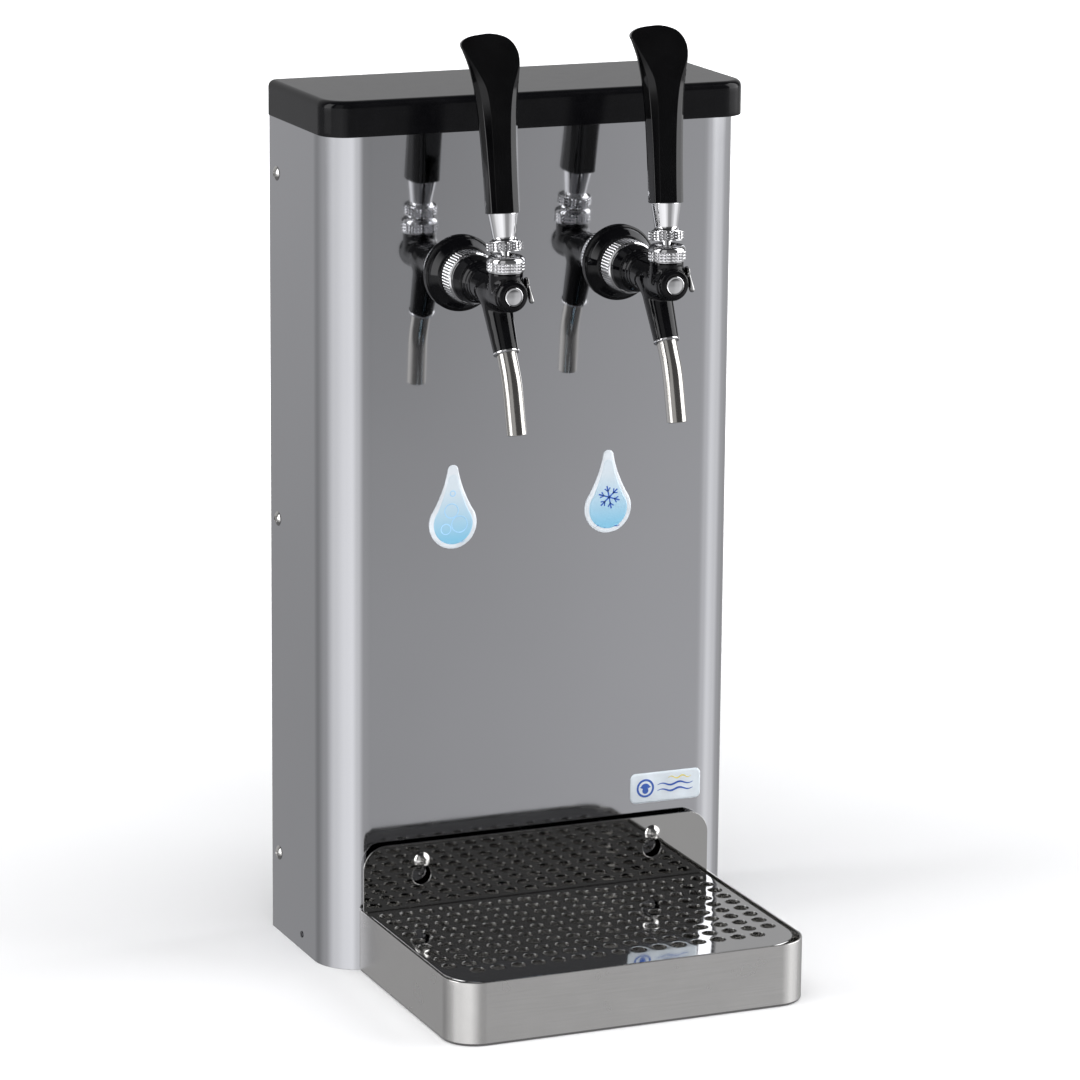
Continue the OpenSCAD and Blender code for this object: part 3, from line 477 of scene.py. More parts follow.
sign_gold = plastic("sign_print_gold", (0.72, 0.62, 0.12), 0.2, 0.3, Coat_Weight=0.6)
badge_pale = plastic("badge_pale", (0.66, 0.72, 0.77), 0.18, 0.26, Coat_Weight=0.6)


def water_blue(name, low, high):
    """The sign's field: deep below and pale above, between two heights in millimetres."""
    look = plastic(name, (0.5, 0.66, 0.8), 0.12, 0.18, Coat_Weight=0.8)
    split = look.new("ShaderNodeSeparateXYZ")
    look.link(look.place, split.inputs["Vector"])
    share = look.ranged(split.outputs["Z"], 0, 1, low * MM, high * MM)
    return look.tint(share, (0.22, 0.52, 0.72), (0.62, 0.70, 0.76), 0.1, 0.9)


# ---------- tower ----------
CORNER_R = 32
SHEET = 1.2


def build_shell():
    """The bent front sheet, open to the rear."""
    w, y0, y1 = shell_hi.x, shell_lo.y, shell_hi.y
    left, right = (-w + CORNER_R, y0 + CORNER_R), (w - CORNER_R, y0 + CORNER_R)
    outer = [(-w, y1)] + arc(left, CORNER_R, 180, 270, 40) + arc(right, CORNER_R, 270, 360, 40) + [(w, y1)]
    r = CORNER_R - SHEET
    inner = [(w - SHEET, y1)] + arc(right, r, 360, 270, 40) + arc(left, r, 270, 180, 40) + [(-w + SHEET, y1)]
    heights = [shell_lo.z + (shell_hi.z - shell_lo.z) * k / 12 for k in range(13)]
    rings = [raised(outer + inner, z) for z in heights]
    piece("tower_shell", loft(rings), "tower", steel_shell, ["front_shell"], bevel=0.2)


def build_lid():
    """A moulded cap: round top edge, fine lower lip, hollow below."""
    w, y0, y1 = lid_hi.x, lid_lo.y, lid_hi.y
    edge, front_r, rear_r = 5, 20, 7
    z0, z1 = lid_lo.z, lid_hi.z
    stations = [(15, z1 - 3), (15, z0 + 6), (9, z0 + 6), (9, z0), (0.5, z0), (0.12, z0 + 0.15), (0, z0 + 0.5)]
    stations += [(0, z0 + 3), (0, z1 - edge - 3)] + arc((edge, z1 - edge), edge, 180, 90, 12)
    stations += [(edge + 4, z1), (edge + 20, z1)]
    rings = [raised(plan(-w, w, y0, y1, front_r, rear_r, d), z) for d, z in stations]
    piece("lid_cap", loft(rings), "tower", black_lid, ["top_lid"], sharp=40)


def build_side_screws():
    """Three pan-head screws a side, and a dark rivet near the foot."""
    lo, hi = corners("side_screws")
    y = (lo.y + hi.y) / 2
    radius = (hi.y - lo.y) / 2
    rivet = [(0, 0, 0), (2.4, 0, 0), (2.4, 0.5, 0.4), (0.9, 0.7, 0.2), (0.8, 0.4, 0.1), (0, 0.4, 0)]
    heads, rivets = [], []
    for s in SIDES.values():
        for i, z in enumerate((lo.z + radius, shell_hi.z - 290, hi.z - radius)):
            at = move(s * shell_hi.x, y, z) @ about("Y", s * 90) @ about("Z", 20 + 25 * i)
            heads.append(dome_head(radius, 2.1, at, 2.6, 1.0, 1.0))
        at = move(s * shell_hi.x, -2, 12) @ about("Y", s * 90)
        rivets.append(lathe(rounded(rivet), at, 32))
    piece("side_screw_heads", merged(*heads), "tower", steel_screw, ["side_screws"])
    piece("base_rivet_heads", merged(*rivets), "tower", rivet_dark, ["base_rivets"])


# ---------- taps ----------
def build_tap_mount(side):
    """Black wall flange and knurled coupling nut."""
    at = barrel_turned(side)
    y = front_y
    flange = [(11.2, y, 0), (27, y, 0.3), (27, y - 2.2, 0.9), (25.6, y - 3.2, 0.4), (25.2, y - 3.0, 0.3)]
    flange += [(24.2, y - 5.2, 2.5), (20.6, y - 9.6, 2.5), (19.6, y - 10, 0.3), (11.2, y - 10, 0)]
    cover = lathe(rounded(flange), at, 128, closed=True)
    piece("wall_flange_cover_" + side, cover, "tower", black_tap, ["wall_flange_" + side])
    nut = knurl(18.7, y - 23.4, y - 10.2, 2.3, 6, 0.6, 11.4, at)
    lip = [(13.4, y - 25, 0), (17.3, y - 25, 0.3), (18.3, y - 24.3, 0.4), (18.3, y - 23.3, 0.3)]
    lip.append((13.4, y - 23.3, 0))
    ring = merged(nut, lathe(rounded(lip), at, 128, closed=True))
    piece("coupling_ring_" + side, ring, "tower", chrome_knurl, ["coupling_nut_" + side])


def cone_distance(p, a, b, ra, rb):
    """Signed distance to a round cone stump from a to b, good near its skin."""
    axis = b - a
    length = np.linalg.norm(axis)
    axis = axis / length
    along = (p - a) @ axis
    radial = np.linalg.norm(p - a - np.outer(along, axis), axis=1)
    t = np.clip(along / length, 0, 1)
    slope = (ra - rb) / length
    side = (radial - (ra + (rb - ra) * t)) / math.sqrt(1 + slope**2)
    ends = np.maximum(-along, along - length)
    outside = np.hypot(np.maximum(side, 0), np.maximum(ends, 0))
    return np.where((side > 0) & (ends > 0), outside, np.maximum(side, ends))


def blended(a, b, k):
    """Smooth union of two distances, with a fillet of about k."""
    h = np.clip(0.5 + 0.5 * (b - a) / k, 0, 1)
    return b * (1 - h) + a * h - k * h * (1 - h)


EDGE = 0.7
NOZZLE_R0, NOZZLE_R1 = 11, 8.8


def nozzle_way(lean):
    """Direction down the nozzle at a lean from the vertical, in the barrel's frame."""
    return Matrix.Rotation(-NOZZLE_TURN, 3, "Y") @ Vector((0, -math.sin(lean), -math.cos(lean)))


def tap_distance(p):
    """Distance to the cast tap body in the barrel's frame: barrel, neck and nozzle run into one another."""

    def stump(a, b, ra, rb):
        """A round cone stump with rounded edges."""
        return cone_distance(p, np.array(a), np.array(b), ra - EDGE, rb - EDGE) - EDGE

    neck_y = pivots["left"].y
    start = np.array([0, NOZZLE_Y, 0.0])
    down = np.array(nozzle_way(NOZZLE_LEAN))
    barrel = stump([0, BARREL_END + EDGE, 0.0], [0, front_y - 40, 0.0], BARREL_R, BARREL_R)
    neck = stump([0, neck_y, 0.0], [0, neck_y, NECK_TOP - EDGE], BARREL_R, BARREL_R)
    nozzle = stump(start, start + down * (NOZZLE_LEN - EDGE), NOZZLE_R0, NOZZLE_R1)
    return blended(blended(barrel, neck, 2.0), nozzle, 4.5)


def settle(points, distance, rounds=6):
    """Moves points onto the skin of a distance field."""
    h = 0.02
    for _ in range(rounds):
        slope = [distance(points + h * axis) - distance(points - h * axis) for axis in np.eye(3)]
        slope = np.stack(slope, 1) / (2 * h)
        slope /= np.maximum(np.linalg.norm(slope, axis=1, keepdims=True), 1e-6)
        points = points - slope * distance(points)[:, None] * 0.9
    return points


def voxel_skin(parts, size_mm):
    """Union of closed parts as one even quad mesh: points in millimetres and faces."""
    verts, faces = merged(*parts)
    mesh = bpy.data.meshes.new("blank")
    mesh.from_pydata(verts, [], faces)
    blank = bpy.data.objects.new("blank", mesh)
    bpy.context.scene.collection.objects.link(blank)
    mod = blank.modifiers.new("remesh", "REMESH")
    mod.mode = "VOXEL"
    mod.voxel_size = size_mm
    graph = bpy.context.evaluated_depsgraph_get()
    done = bpy.data.meshes.new_from_object(blank.evaluated_get(graph))
    points = np.array([v.co for v in done.vertices], float).reshape(-1, 3)
    polys = [list(p.vertices) for p in done.polygons]
    bpy.data.objects.remove(blank)
    bpy.data.meshes.remove(done)
    bpy.data.meshes.remove(mesh)
    return points, polys


def tap_skin():
    """The blended body, worked out once and used for both taps."""
    neck = move(0, pivots["left"].y, 0)
    nozzle = move(0, NOZZLE_Y, 0) @ Matrix.Rotation(-NOZZLE_TURN, 4, "Y")
    nozzle = nozzle @ Matrix.Rotation(-NOZZLE_LEAN, 4, "X")
    r, rear = BARREL_R - 0.15, front_y - 40
    parts = [
        lathe([(0, BARREL_END), (r, BARREL_END), (r, rear), (0, rear)], about("X", -90), 64),
        lathe([(0, 0), (r, 0), (r, NECK_TOP), (0, NECK_TOP)], neck, 64),
        lathe([(0, -NOZZLE_LEN), (NOZZLE_R1, -NOZZLE_LEN), (NOZZLE_R0, 0), (0, 0)], nozzle, 64),
    ]
    points, polys = voxel_skin(parts, 0.8)
    return [Vector(p) for p in settle(points, tap_distance)], polys


def build_tap_body(side, skin):
    """Cast body with its stepped rear collar, chrome ring, bent outlet tube, and front cap with its disc."""
    turned = barrel_turned(side)
    y, end = COLLAR_END, BARREL_END
    collar = [(9, y, 0), (17, y, 0.3), (17, y - 3.4, 0.7), (16.3, y - 6, 1.0), (15.1, y - 10.8, 0.4)]
    collar += [(14.2, y - 11.2, 0.2), (14.2, y - 13.6, 0.5), (13.0, y - 15.2, 0.6), (12.9, y - 17.2, 0.4)]
    collar += [(12.3, y - 18.2, 0.6), (12.2, y - 20.4, 0.4), (11.7, y - 21.6, 0.6), (9, y - 21.6, 0)]
    body = [barrel_frame(side) @ v for v in skin[0]], skin[1]
    casting = merged(body, lathe(rounded(collar), turned, 128, closed=True))
    piece("tap_casting_" + side, casting, "tower", black_tap, ["tap_body_" + side], sharp=45)
    low = -NOZZLE_LEN
    ring = [(7.05, low - 1.6, 0.2), (8.7, low - 1.6, 0.5), (9.3, low - 0.9, 0.4), (9.2, low + 0.3, 0.4)]
    ring += [(8.2, low + 0.5, 0.1), (7.05, low + 0.5, 0)]
    trim = lathe(rounded(ring, closed=True), nozzle_frame(side), 96, closed=True)
    piece("nozzle_trim_" + side, trim, "tower", chrome, ["nozzle_ring_" + side])
    tube = outlet(side)
    piece("outlet_spout_" + side, tube, "tower", steel_outlet, ["outlet_tube_" + side])
    cap = [(0, end, 0), (10.6, end, 0.2), (11.1, end - 0.8, 0.6), (11.1, end - 2.4, 0.8)]
    cap += [(10.2, end - 4.1, 1.0), (8.0, end - 4.5, 0.6), (6.75, end - 4.4, 0.2), (6.7, end - 3.4, 0.1)]
    cap.append((0, end - 3.4, 0))
    cap = lathe(rounded(cap), turned, 96)
    piece("cap_ring_" + side, cap, "tower", black_tap, ["front_cap_" + side])
    ball, dome_r = 42.0, 5.6
    disc = [(0, end - 3.3), (6.5, end - 3.3), (6.5, end - 4.9), (6.4, end - 5.2)]
    disc += [(6.15, end - 5.35), (5.8, end - 5.2)]
    for k in range(1, 13):
        r = dome_r * (1 - k / 12)
        disc.append((r, end - 5.15 - (math.sqrt(ball**2 - r**2) - math.sqrt(ball**2 - dome_r**2))))
    piece("cap_button_" + side, lathe(disc, turned, 96), "tower", chrome, ["cap_disc_" + side])


def outlet(side):
    """A tube that leaves the nozzle straight, bends towards the vertical and ends in a rounded open lip."""
    straight, bend_r, tail = 14, 60, 28
    wall, outside, lip_r = 1.2, 7.0, 0.5
    first = Vector((0, -math.sin(NOZZLE_LEAN), -math.cos(NOZZLE_LEAN)))
    last = Vector((0, -math.sin(OUTLET_LEAN), -math.cos(OUTLET_LEAN)))
    bend_start = (NOZZLE_LEN + straight) * first
    centre = bend_start + bend_r * Vector((0, math.cos(NOZZLE_LEAN), -math.sin(NOZZLE_LEAN)))
    path = [(NOZZLE_LEN - 11) * first, (NOZZLE_LEN + straight * 0.5) * first]
    for k in range(17):
        a = NOZZLE_LEAN + (OUTLET_LEAN - NOZZLE_LEAN) * k / 16
        path.append(centre - bend_r * Vector((0, math.cos(a), -math.sin(a))))
    end = path[-1] + tail * last
    path += [path[-1] + tail * 0.5 * last, end - lip_r * last]
    outer, radii = list(path), [outside] * len(path)
    for k in range(1, 5):
        a = math.pi / 2 * k / 4
        outer.append(end - lip_r * last + lip_r * math.sin(a) * last)
        radii.append(outside - lip_r * (1 - math.cos(a)))
    inner = [end] + path[::-1][1:]
    at = nozzle_root(side)
    rings = sweep(outer, radii, 72, at)
    back = sweep(inner[::-1], [outside - wall] * len(inner), 72, at)[::-1]
    return loft(rings + back, closed=True)


def build_bonnet(side):
    """Knurled bonnet nut with a smooth domed shoulder round the lever's socket."""
    crown = [(12.55, 22.5), (12.5, 22.75), (13.0, 22.85)]
    for k in range(9):
        a = math.radians(4 + 86 * k / 8)
        crown.append((9.5 + 3.6 * math.cos(a), 22.8 + 3.5 * math.sin(a)))
    crown += [(8.2, 26.3), (7.9, 26.1), (7.4, 25.4), (7.0, 24.2)]
    nut = knurl(13.15, 15.3, 22.4, 2.7, 3, 0.8, 6.9, neck_frame(side), soft=0.35, crown=crown)
    node = "bonnet_nut_" + side
    piece("bonnet_knurled_" + side, nut, "tower", chrome_knurl, [node], sharp=28)


def build_flow_lever(side):
    """Small stop lever: a domed hub and an arm that hangs out and down and swells to a round end."""
    p = flow_pivots[side]
    length, lean = 15.5, -16
    hub = [(0, -1.2, 0), (3.9, -1.2, 0.2), (4.1, 0.3, 0.5), (3.0, 1.1, 0.8), (0, 1.3, 0)]
    rings = []
    for k in range(25):
        t = k / 24
        close = math.sqrt(max(1 - max(0.0, (t - 0.88) / 0.12) ** 2, 0.02))
        thick = close * (1.0 + 0.9 * ease(t * 1.2))
        wide = close * (3.2 - 0.9 * ease(t * 1.1))
        rings.append([(thick * math.cos(a), wide * math.sin(a), -length * t) for a in sector_angles(28)])
    arm = loft(rings, Matrix.Translation(p + Vector((0.1, 0, 0.5))) @ about("Y", lean))
    lever = merged(lathe(rounded(hub), Matrix.Translation(p) @ about("Y", 90), 48), arm)
    piece("flow_arm_" + side, lever, "flow_" + side, steel_lever, ["flow_lever_" + side])


# Handle sections by height: the front strip's two edges, the two sides, the front and the back
HANDLE_SHAPE = [
    (0, -5.8, 5.4, -11.9, 11.9, 11.4, 11.2),
    (12, -5.9, 5.4, -12.0, 12.0, 11.2, 10.8),
    (30, -5.9, 5.7, -12.4, 12.2, 10.9, 10.2),
    (52, -5.9, 6.5, -13.1, 12.7, 10.6, 9.4),
    (70, -6.4, 7.8, -14.2, 13.3, 10.7, 8.2),
    (84, -8.4, 10.0, -15.8, 14.2, 11.1, 6.6),
    (93, -12.4, 12.8, -17.4, 14.9, 11.5, 5.2),
    (100, -16.4, 14.7, -19.0, 15.3, 11.9, 4.0),
    (106, -20.0, 14.6, -21.0, 14.9, 12.1, 2.9),
    (111, -22.6, 13.0, -22.9, 13.2, 12.2, 1.9),
    (115, -24.2, 10.4, -24.4, 10.6, 12.1, 1.0),
    (118.2, -21.6, 6.6, -21.8, 6.8, 11.9, 0.0),
    (120.3, -15.8, 1.2, -16.0, 1.4, 11.5, -1.2),
    (121.3, -7.0, -4.0, -7.2, -3.8, 10.9, -2.8),
]
CHAMFER_SHARE = 0.62


def handle_section(h):
    """One ring of the handle: flat front strip, chamfers, full sides, rounded back."""
    sl, sr, left, right, front, back = (spline(HANDLE_SHAPE, h, c) for c in range(1, 7))
    low = ease(1 - h / 118)
    half_depth = (front + back) / 2
    halves = []
    for s, strip, side_x in ((-1, sl, left), (1, sr, right)):
        gap = abs(side_x - strip)
        chamfer = CHAMFER_SHARE * gap
        depth = 0.55 * chamfer + 0.05
        side_y = min(depth + 0.9 * gap + 0.4, half_depth * 0.8) - front
        halves.append(
            [
                (strip, -front, 0.5 + 0.4 * low),
                (strip + s * chamfer, depth - front, 0.7 + 1.6 * low),
                (side_x, side_y, 1.0 + 3.0 * low),
                (side_x - s * 0.3, back - half_depth * 0.62, 1.2 + 5.0 * low),
                (side_x * 0.62 + strip * 0.19, back, 1.2 + 5.0 * low),
            ]
        )
    return raised(rounded(halves[0] + halves[1][::-1], closed=True, steps=4), h)


def build_lever(side):
    """Everything on the moving lever above its stem: knurled collar, ferrule and handle."""
    at = lever_frame(side)
    body = "lever_" + side
    collar = knurl(12.35, 11.6, 18.0, 2.7, 3, 0.8, 3.1, at, soft=0.3)
    node = "lever_collar_" + side
    piece("collar_knurled_" + side, collar, body, chrome_knurl, [node], sharp=28)
    foot = [(3.1, 18.0), (10.3, 18.05), (10.2, 18.4)]
    for k in range(1, 10):
        a = math.radians(10 * k)
        foot.append((8.0 + 2.2 * (1 - math.sin(a)), 18.6 + 2.4 * (1 - math.cos(a))))
    foot += [(9.05, 28.5), (10.3, 36.4), (10.35, 37.1), (10.1, 37.4), (3.1, 37.4)]
    ferrule = lathe(foot, at, 96, closed=True)
    piece("ferrule_turned_" + side, ferrule, body, chrome, ["ferrule_" + side], sharp=28)
    turned = at @ move(0, 0, HANDLE_FOOT) @ Matrix.Rotation(-HANDLE_TURN, 4, "Z")
    top = HANDLE_SHAPE[-1][0]
    heights = [top * k / 34 * 0.88 for k in range(34)]
    heights += [top * (0.88 + 0.12 * math.sin(math.pi / 2 * k / 24)) for k in range(25)]
    rings = [handle_section(h) for h in heights]
    lip = [(x * 0.95, y * 0.95, -0.35) for x, y, _ in rings[0]]
    handle = loft([lip] + rings, turned)
    piece("handle_paddle_" + side, handle, body, black_handle, ["handle_" + side], sharp=50)


# ---------- drip tray ----------
def build_tray():
    """A folded tub with rounded edges, and its polished rear plate with two keyholes."""
    w, y0, y1 = tray_hi.x, tray_lo.y, tray_hi.y
    rim_z, wall, front_r, fold, bend = 45.7, 1.2, 24, 2.2, 2.5
    stations = arc((fold, fold), fold, 270, 180, 6)
    stations += [(0, 12), (0, rim_z - 4), (0, rim_z - 0.5), (0.15, rim_z - 0.15), (0.5, rim_z), (0.8, rim_z)]
    stations += [(1.1, rim_z - 0.15), (wall, rim_z - 0.5), (wall, rim_z - 5), (wall, 6)]
    stations += arc((wall + bend, wall + bend), bend, 180, 270, 5) + [(wall + 30, wall)]
    tub = [raised(plan(-w, w, y0, y1, front_r, 1.5, d, steps=20), z) for d, z in stations]
    lugs = []
    for s in (-1, 1):
        for y in (y0 + 34, -100):
            cx = s * (w - 4.7)
            foot = [(cx - 3.5, y - 7, 1), (cx + 3.5, y - 7, 1), (cx + 3.5, y + 7, 1), (cx - 3.5, y + 7, 1)]
            lugs.append(prism(rounded(foot, closed=True, steps=3), 1.1, 40.3, 0.4))
    piece("tray_tub", merged(loft(tub), *lugs), "tray", steel_tray, sharp=35)
    keyholes = [keyhole(-TRAY_HANG_X), keyhole(TRAY_HANG_X)]
    verts, faces = sheet_with_holes(rear_plate_outline(w - 1), keyholes, wall)
    at = move(0, front_y - 6 + wall / 2, 0) @ about("X", 90)
    plate = [at @ v for v in verts], faces
    piece("tray_back_plate", plate, "tray", steel_plate, ["drip_tray"], sharp=35)


def rear_plate_outline(half):
    """The tray's rear plate from in front, with round upper corners."""
    foot, top, r = 1.2, tray_hi.z, 17
    outline = [(-half, foot, 0.2), (half, foot, 0.2), (half, top, r), (-half, top, r)]
    return rounded(outline, closed=True, steps=16)


def keyhole(x):
    """Large hole below and narrow slot above, for hanging on a screw."""
    slot, hole, hole_z, slot_z = 3.0, 7.25, 68, 79
    a = math.degrees(math.asin(slot / hole))
    points = arc((x, hole_z), hole, 90 + a, 450 - a, 40)
    return points + arc((x, slot_z), slot, 0, 180, 16)


def sheet_with_holes(outline, holes, thickness, edge=0.25):
    """A flat sheet in XY with holes and softened edges, made by filling curves."""
    curve = bpy.data.curves.new("sheet", "CURVE")
    curve.dimensions = "2D"
    curve.fill_mode = "BOTH"
    curve.extrude = thickness / 2 - edge
    curve.bevel_depth = edge
    curve.bevel_resolution = 2
    curve.offset = -edge
    for points in [outline] + holes:
        line = curve.splines.new("POLY")
        line.points.add(len(points) - 1)
        for k, (x, y) in enumerate(points):
            line.points[k].co = (x, y, 0, 1)
        line.use_cyclic_u = True
    obj = bpy.data.objects.new("sheet", curve)
    bpy.context.scene.collection.objects.link(obj)
    graph = bpy.context.evaluated_depsgraph_get()
    mesh = bpy.data.meshes.new_from_object(obj.evaluated_get(graph))
    edit = bmesh.new()
    edit.from_mesh(mesh)
    bmesh.ops.remove_doubles(edit, verts=edit.verts, dist=0.01)
    edit.to_mesh(mesh)
    edit.free()
    verts = [v.co.copy() for v in mesh.vertices]
    faces = [list(p.vertices) for p in mesh.polygons]
    bpy.data.objects.remove(obj)
    bpy.data.meshes.remove(mesh)
    return verts, faces


PITCH_X, PITCH_Y = 15.17, 14.8
COLS, ROWS = 17, 10
HOLE_R = 5.5
SIDE_STEPS = 8


def square_points(cx, cy):
    """Points round one cell of the hole pattern, the same number on each side."""
    turns = [(-1, -1), (1, -1), (1, 1), (-1, 1), (-1, -1)]
    out = []
    for (ax, ay), (bx, by) in zip(turns, turns[1:]):
        for k in range(SIDE_STEPS):
            t = k / SIDE_STEPS
            out.append((cx + PITCH_X / 2 * (ax + (bx - ax) * t), cy + PITCH_Y / 2 * (ay + (by - ay) * t)))
    return out


def build_grille():
    """A pressed plate with rows of holes, each with a rounded edge, and a turned-down rim."""
    top, bottom, thick = grille_hi.z, grille_lo.z, 1.6
    x_of = [(i - (COLS - 1) / 2) * PITCH_X for i in range(COLS)]
    y_of = [front_y - 151.6 + j * PITCH_Y for j in range(ROWS)]
    numbers, verts, faces = {}, [], []

    def vert(x, y, z):
        """Number of the point at a place, the same one each time."""
        key = (round(x, 3), round(y, 3), round(z, 3))
        if key not in numbers:
            numbers[key] = len(verts)
            verts.append((x, y, z))
        return numbers[key]

    lip = [(HOLE_R + 0.16, 0.0), (HOLE_R + 0.05, -0.05), (HOLE_R, -0.16), (HOLE_R, -thick)]
    for i, cx in enumerate(x_of):
        for j, cy in enumerate(y_of):
            square = square_points(cx, cy)
            above = [vert(x, y, top) for x, y in square]
            below = [vert(x, y, top - thick) for x, y in square]
            if j == 0 and i in (0, COLS - 1):
                faces += [above, below[::-1]]
                continue
            ways = [math.atan2(y - cy, x - cx) for x, y in square]
            ways = [(math.cos(a), math.sin(a)) for a in ways]
            hole = [[vert(cx + r * u, cy + r * v, top + dz) for u, v in ways] for r, dz in lip]
            faces += strips([above] + hole + [below])
    x0, x1 = x_of[0] - PITCH_X / 2, x_of[-1] + PITCH_X / 2
    ya, yb = y_of[0] - PITCH_Y / 2, y_of[-1] + PITCH_Y / 2
    sx, sy = COLS * SIDE_STEPS, ROWS * SIDE_STEPS
    border = [(x0 + (x1 - x0) * k / sx, ya) for k in range(sx)]
    border += [(x1, ya + (yb - ya) * k / sy) for k in range(sy)]
    border += [(x1 - (x1 - x0) * k / sx, yb) for k in range(sx)]
    border += [(x0, yb - (yb - ya) * k / sy) for k in range(sy)]
    rim = [grille_edge(x, y, grille_hi.x) for x, y in border]
    fold = [(0.9, 0.0), (0.45, -0.12), (0.12, -0.45), (0.0, -0.9)]
    fold += [(0.0, bottom - top), (thick, bottom - top), (thick, -thick)]
    centre = Vector((0, (grille_lo.y + grille_hi.y) / 2))
    rings = [[vert(x, y, top) for x, y in border]]
    for inset, dz in fold:
        ring = []
        for x, y in rim:
            v = Vector((x, y)) - centre
            ring.append(vert(*(v * (1 - inset / max(abs(v.x), abs(v.y), 60)) + centre), top + dz))
        rings.append(ring)
    faces += strips(rings + [[vert(x, y, top - thick) for x, y in border]])
    piece("grille_plate", (verts, faces), "grille", steel_grille, ["tray_grille"], sharp=35)


def grille_edge(x, y, w):
    """Where a ray from the plate's middle through a point meets its outline."""
    y0, y1, r = grille_lo.y, grille_hi.y, 30
    middle = (y0 + y1) / 2
    dx, dy = x, y - middle
    limit = min(w / max(abs(dx), 1e-6), (y1 - middle) / max(abs(dy), 1e-6))
    px, py = dx * limit, dy * limit + middle
    if dy < 0 and abs(px) > w - r and py < y0 + r:
        cx, cy = math.copysign(w - r, px), y0 + r
        a = dx * dx + dy * dy
        b = 2 * (dx * (0 - cx) + dy * (middle - cy))
        c = cx**2 + (middle - cy) ** 2 - r * r
        root = b * b - 4 * a * c
        if root > 0:
            t = (-b + math.sqrt(root)) / (2 * a)
            qx, qy = dx * t, dy * t + middle
            if abs(qx) >= w - r and qy <= y0 + r:
                return qx, qy
    return px, py


def build_tray_screws():
    """Two dome-headed cross-recess screws that the keyholes hang on."""
    heads = []
    z = (tray_head_lo.z + tray_head_hi.z) / 2
    for i, x in enumerate((-TRAY_HANG_X, TRAY_HANG_X)):
        at = move(x, front_y - 6.3, z) @ about("X", 90) @ about("Z", 35 + 20 * i)
        heads.append(dome_head(6, 3.6, at, 2.7, 1.1, 1.5))
        heads.append(lathe([(0, -17), (2.5, -17), (2.5, 0.2), (0, 0.2)], at, 32))
    piece("tray_screw_heads", merged(*heads), "tower", steel_screw, ["tray_screws"])


# ---------- signs ----------
PRINT_H = 0.14


def drop_outline(height, width, steps=12):
    """Water drop: round bulb, hollow flanks, round tip; starts at the foot and runs counter-clockwise."""
    r, tip = width / 2, 3.9
    half = arc((0, r), r, -90, 38, steps)
    cap = arc((0, height - tip), tip, 20, 90, steps)
    p, m, q = Vector(half[-1]), Vector((tip + 2.2, height * 0.72)), Vector(cap[0])
    for k in range(1, steps + 1):
        t = k / steps
        half.append(tuple((1 - t) ** 2 * p + 2 * t * (1 - t) * m + t * t * q))
    half += cap[1:]
    return half + [(-x, y) for x, y in half[-2:0:-1]]


def domed(outline, low, high, inset0, inset1, at):
    """A pillow-shaped skin: the outline at low height, drawn in and raised to high."""
    stations = [(inset0, 0.0), (inset0, low)]
    for k in range(1, 7):
        t = k / 6
        stations.append((inset0 + (inset1 - inset0) * t, low + (high - low) * math.sin(math.pi / 2 * t)))
    return loft([raised(inset_outline(outline, d), z) for d, z in stations], at)


def build_drop_sign(side):
    """A domed sign: pale rim, blue field, and bubbles or a snow star in place of a word."""
    lo, hi = corners("drop_sign_" + side)
    height, width = hi.z - lo.z, hi.x - lo.x
    at = move((lo.x + hi.x) / 2, front_y, lo.z) @ about("X", 90)
    rim = domed(drop_outline(height, width), 0.5, 1.0, 0, 1.6, at)
    piece("drop_rim_" + side, rim, "tower", sign_rim, ["drop_sign_" + side])
    field = drop_outline(height - 10, width - 6.4)
    inner = domed(field, 0.45, 0.75, 0, 1.2, at @ move(0, 3.2, 0.55))
    blue = water_blue("drop_blue_" + side, lo.z + 2, lo.z + height * 0.8)
    piece("drop_field_" + side, inner, "tower", blue)
    marks, icon_z = [], 1.22
    if side == "left":
        for x, y, r in ((-1.5, 27.5, 5.4), (4.6, 17.5, 6.2), (-5.6, 14.5, 4.0), (-0.5, 40.0, 2.2)):
            ring = [(r - 0.75, 0), (r - 0.6, 0.16), (r, 0.16), (r + 0.15, 0)]
            marks.append(lathe(ring, at @ move(x, y, icon_z), 48, closed=True))
    else:
        for k in range(6):
            spin = at @ move(0.5, 26, icon_z) @ about("Z", 60 * k + 12)
            marks.append(bar(0, 0, 0, 8.2, 0.55, spin))
            for s in (-1, 1):
                marks.append(bar(0, 4.4, s * 2.0, 6.6, 0.45, spin))
    for k in range(2):
        marks.append(wave(9, 8.5 - 3.2 * k, 0.5, at @ move(0, 0, icon_z - 0.12)))
    ink = sign_soft if side == "left" else sign_print
    piece("drop_mark_" + side, merged(*marks), "tower", ink)


def printed(outline, at):
    """A thin raised patch of print."""
    return loft([raised(outline, 0), raised(outline, PRINT_H)], at)


def bar(x0, y0, x1, y1, half, at):
    """A thin raised stroke from one point to another."""
    a, b = Vector((x0, y0)), Vector((x1, y1))
    along = (b - a).normalized()
    out = Vector((-along.y, along.x)) * half
    end = along * half * 0.6
    points = [a - end - out, b + end - out, b + end + out, a - end + out]
    return printed(points, at)


def wave(half_width, y, half, at):
    """A thin raised wavy stroke."""
    upper, lower = [], []
    for k in range(33):
        t = k / 32
        x = half_width * (2 * t - 1)
        mid = y + 0.9 * math.sin(t * 4 * math.pi)
        thin = half * (0.25 + 0.75 * math.sin(math.pi * t))
        upper.append((x, mid + thin))
        lower.append((x, mid - thin))
    return printed(lower + upper[::-1], at)


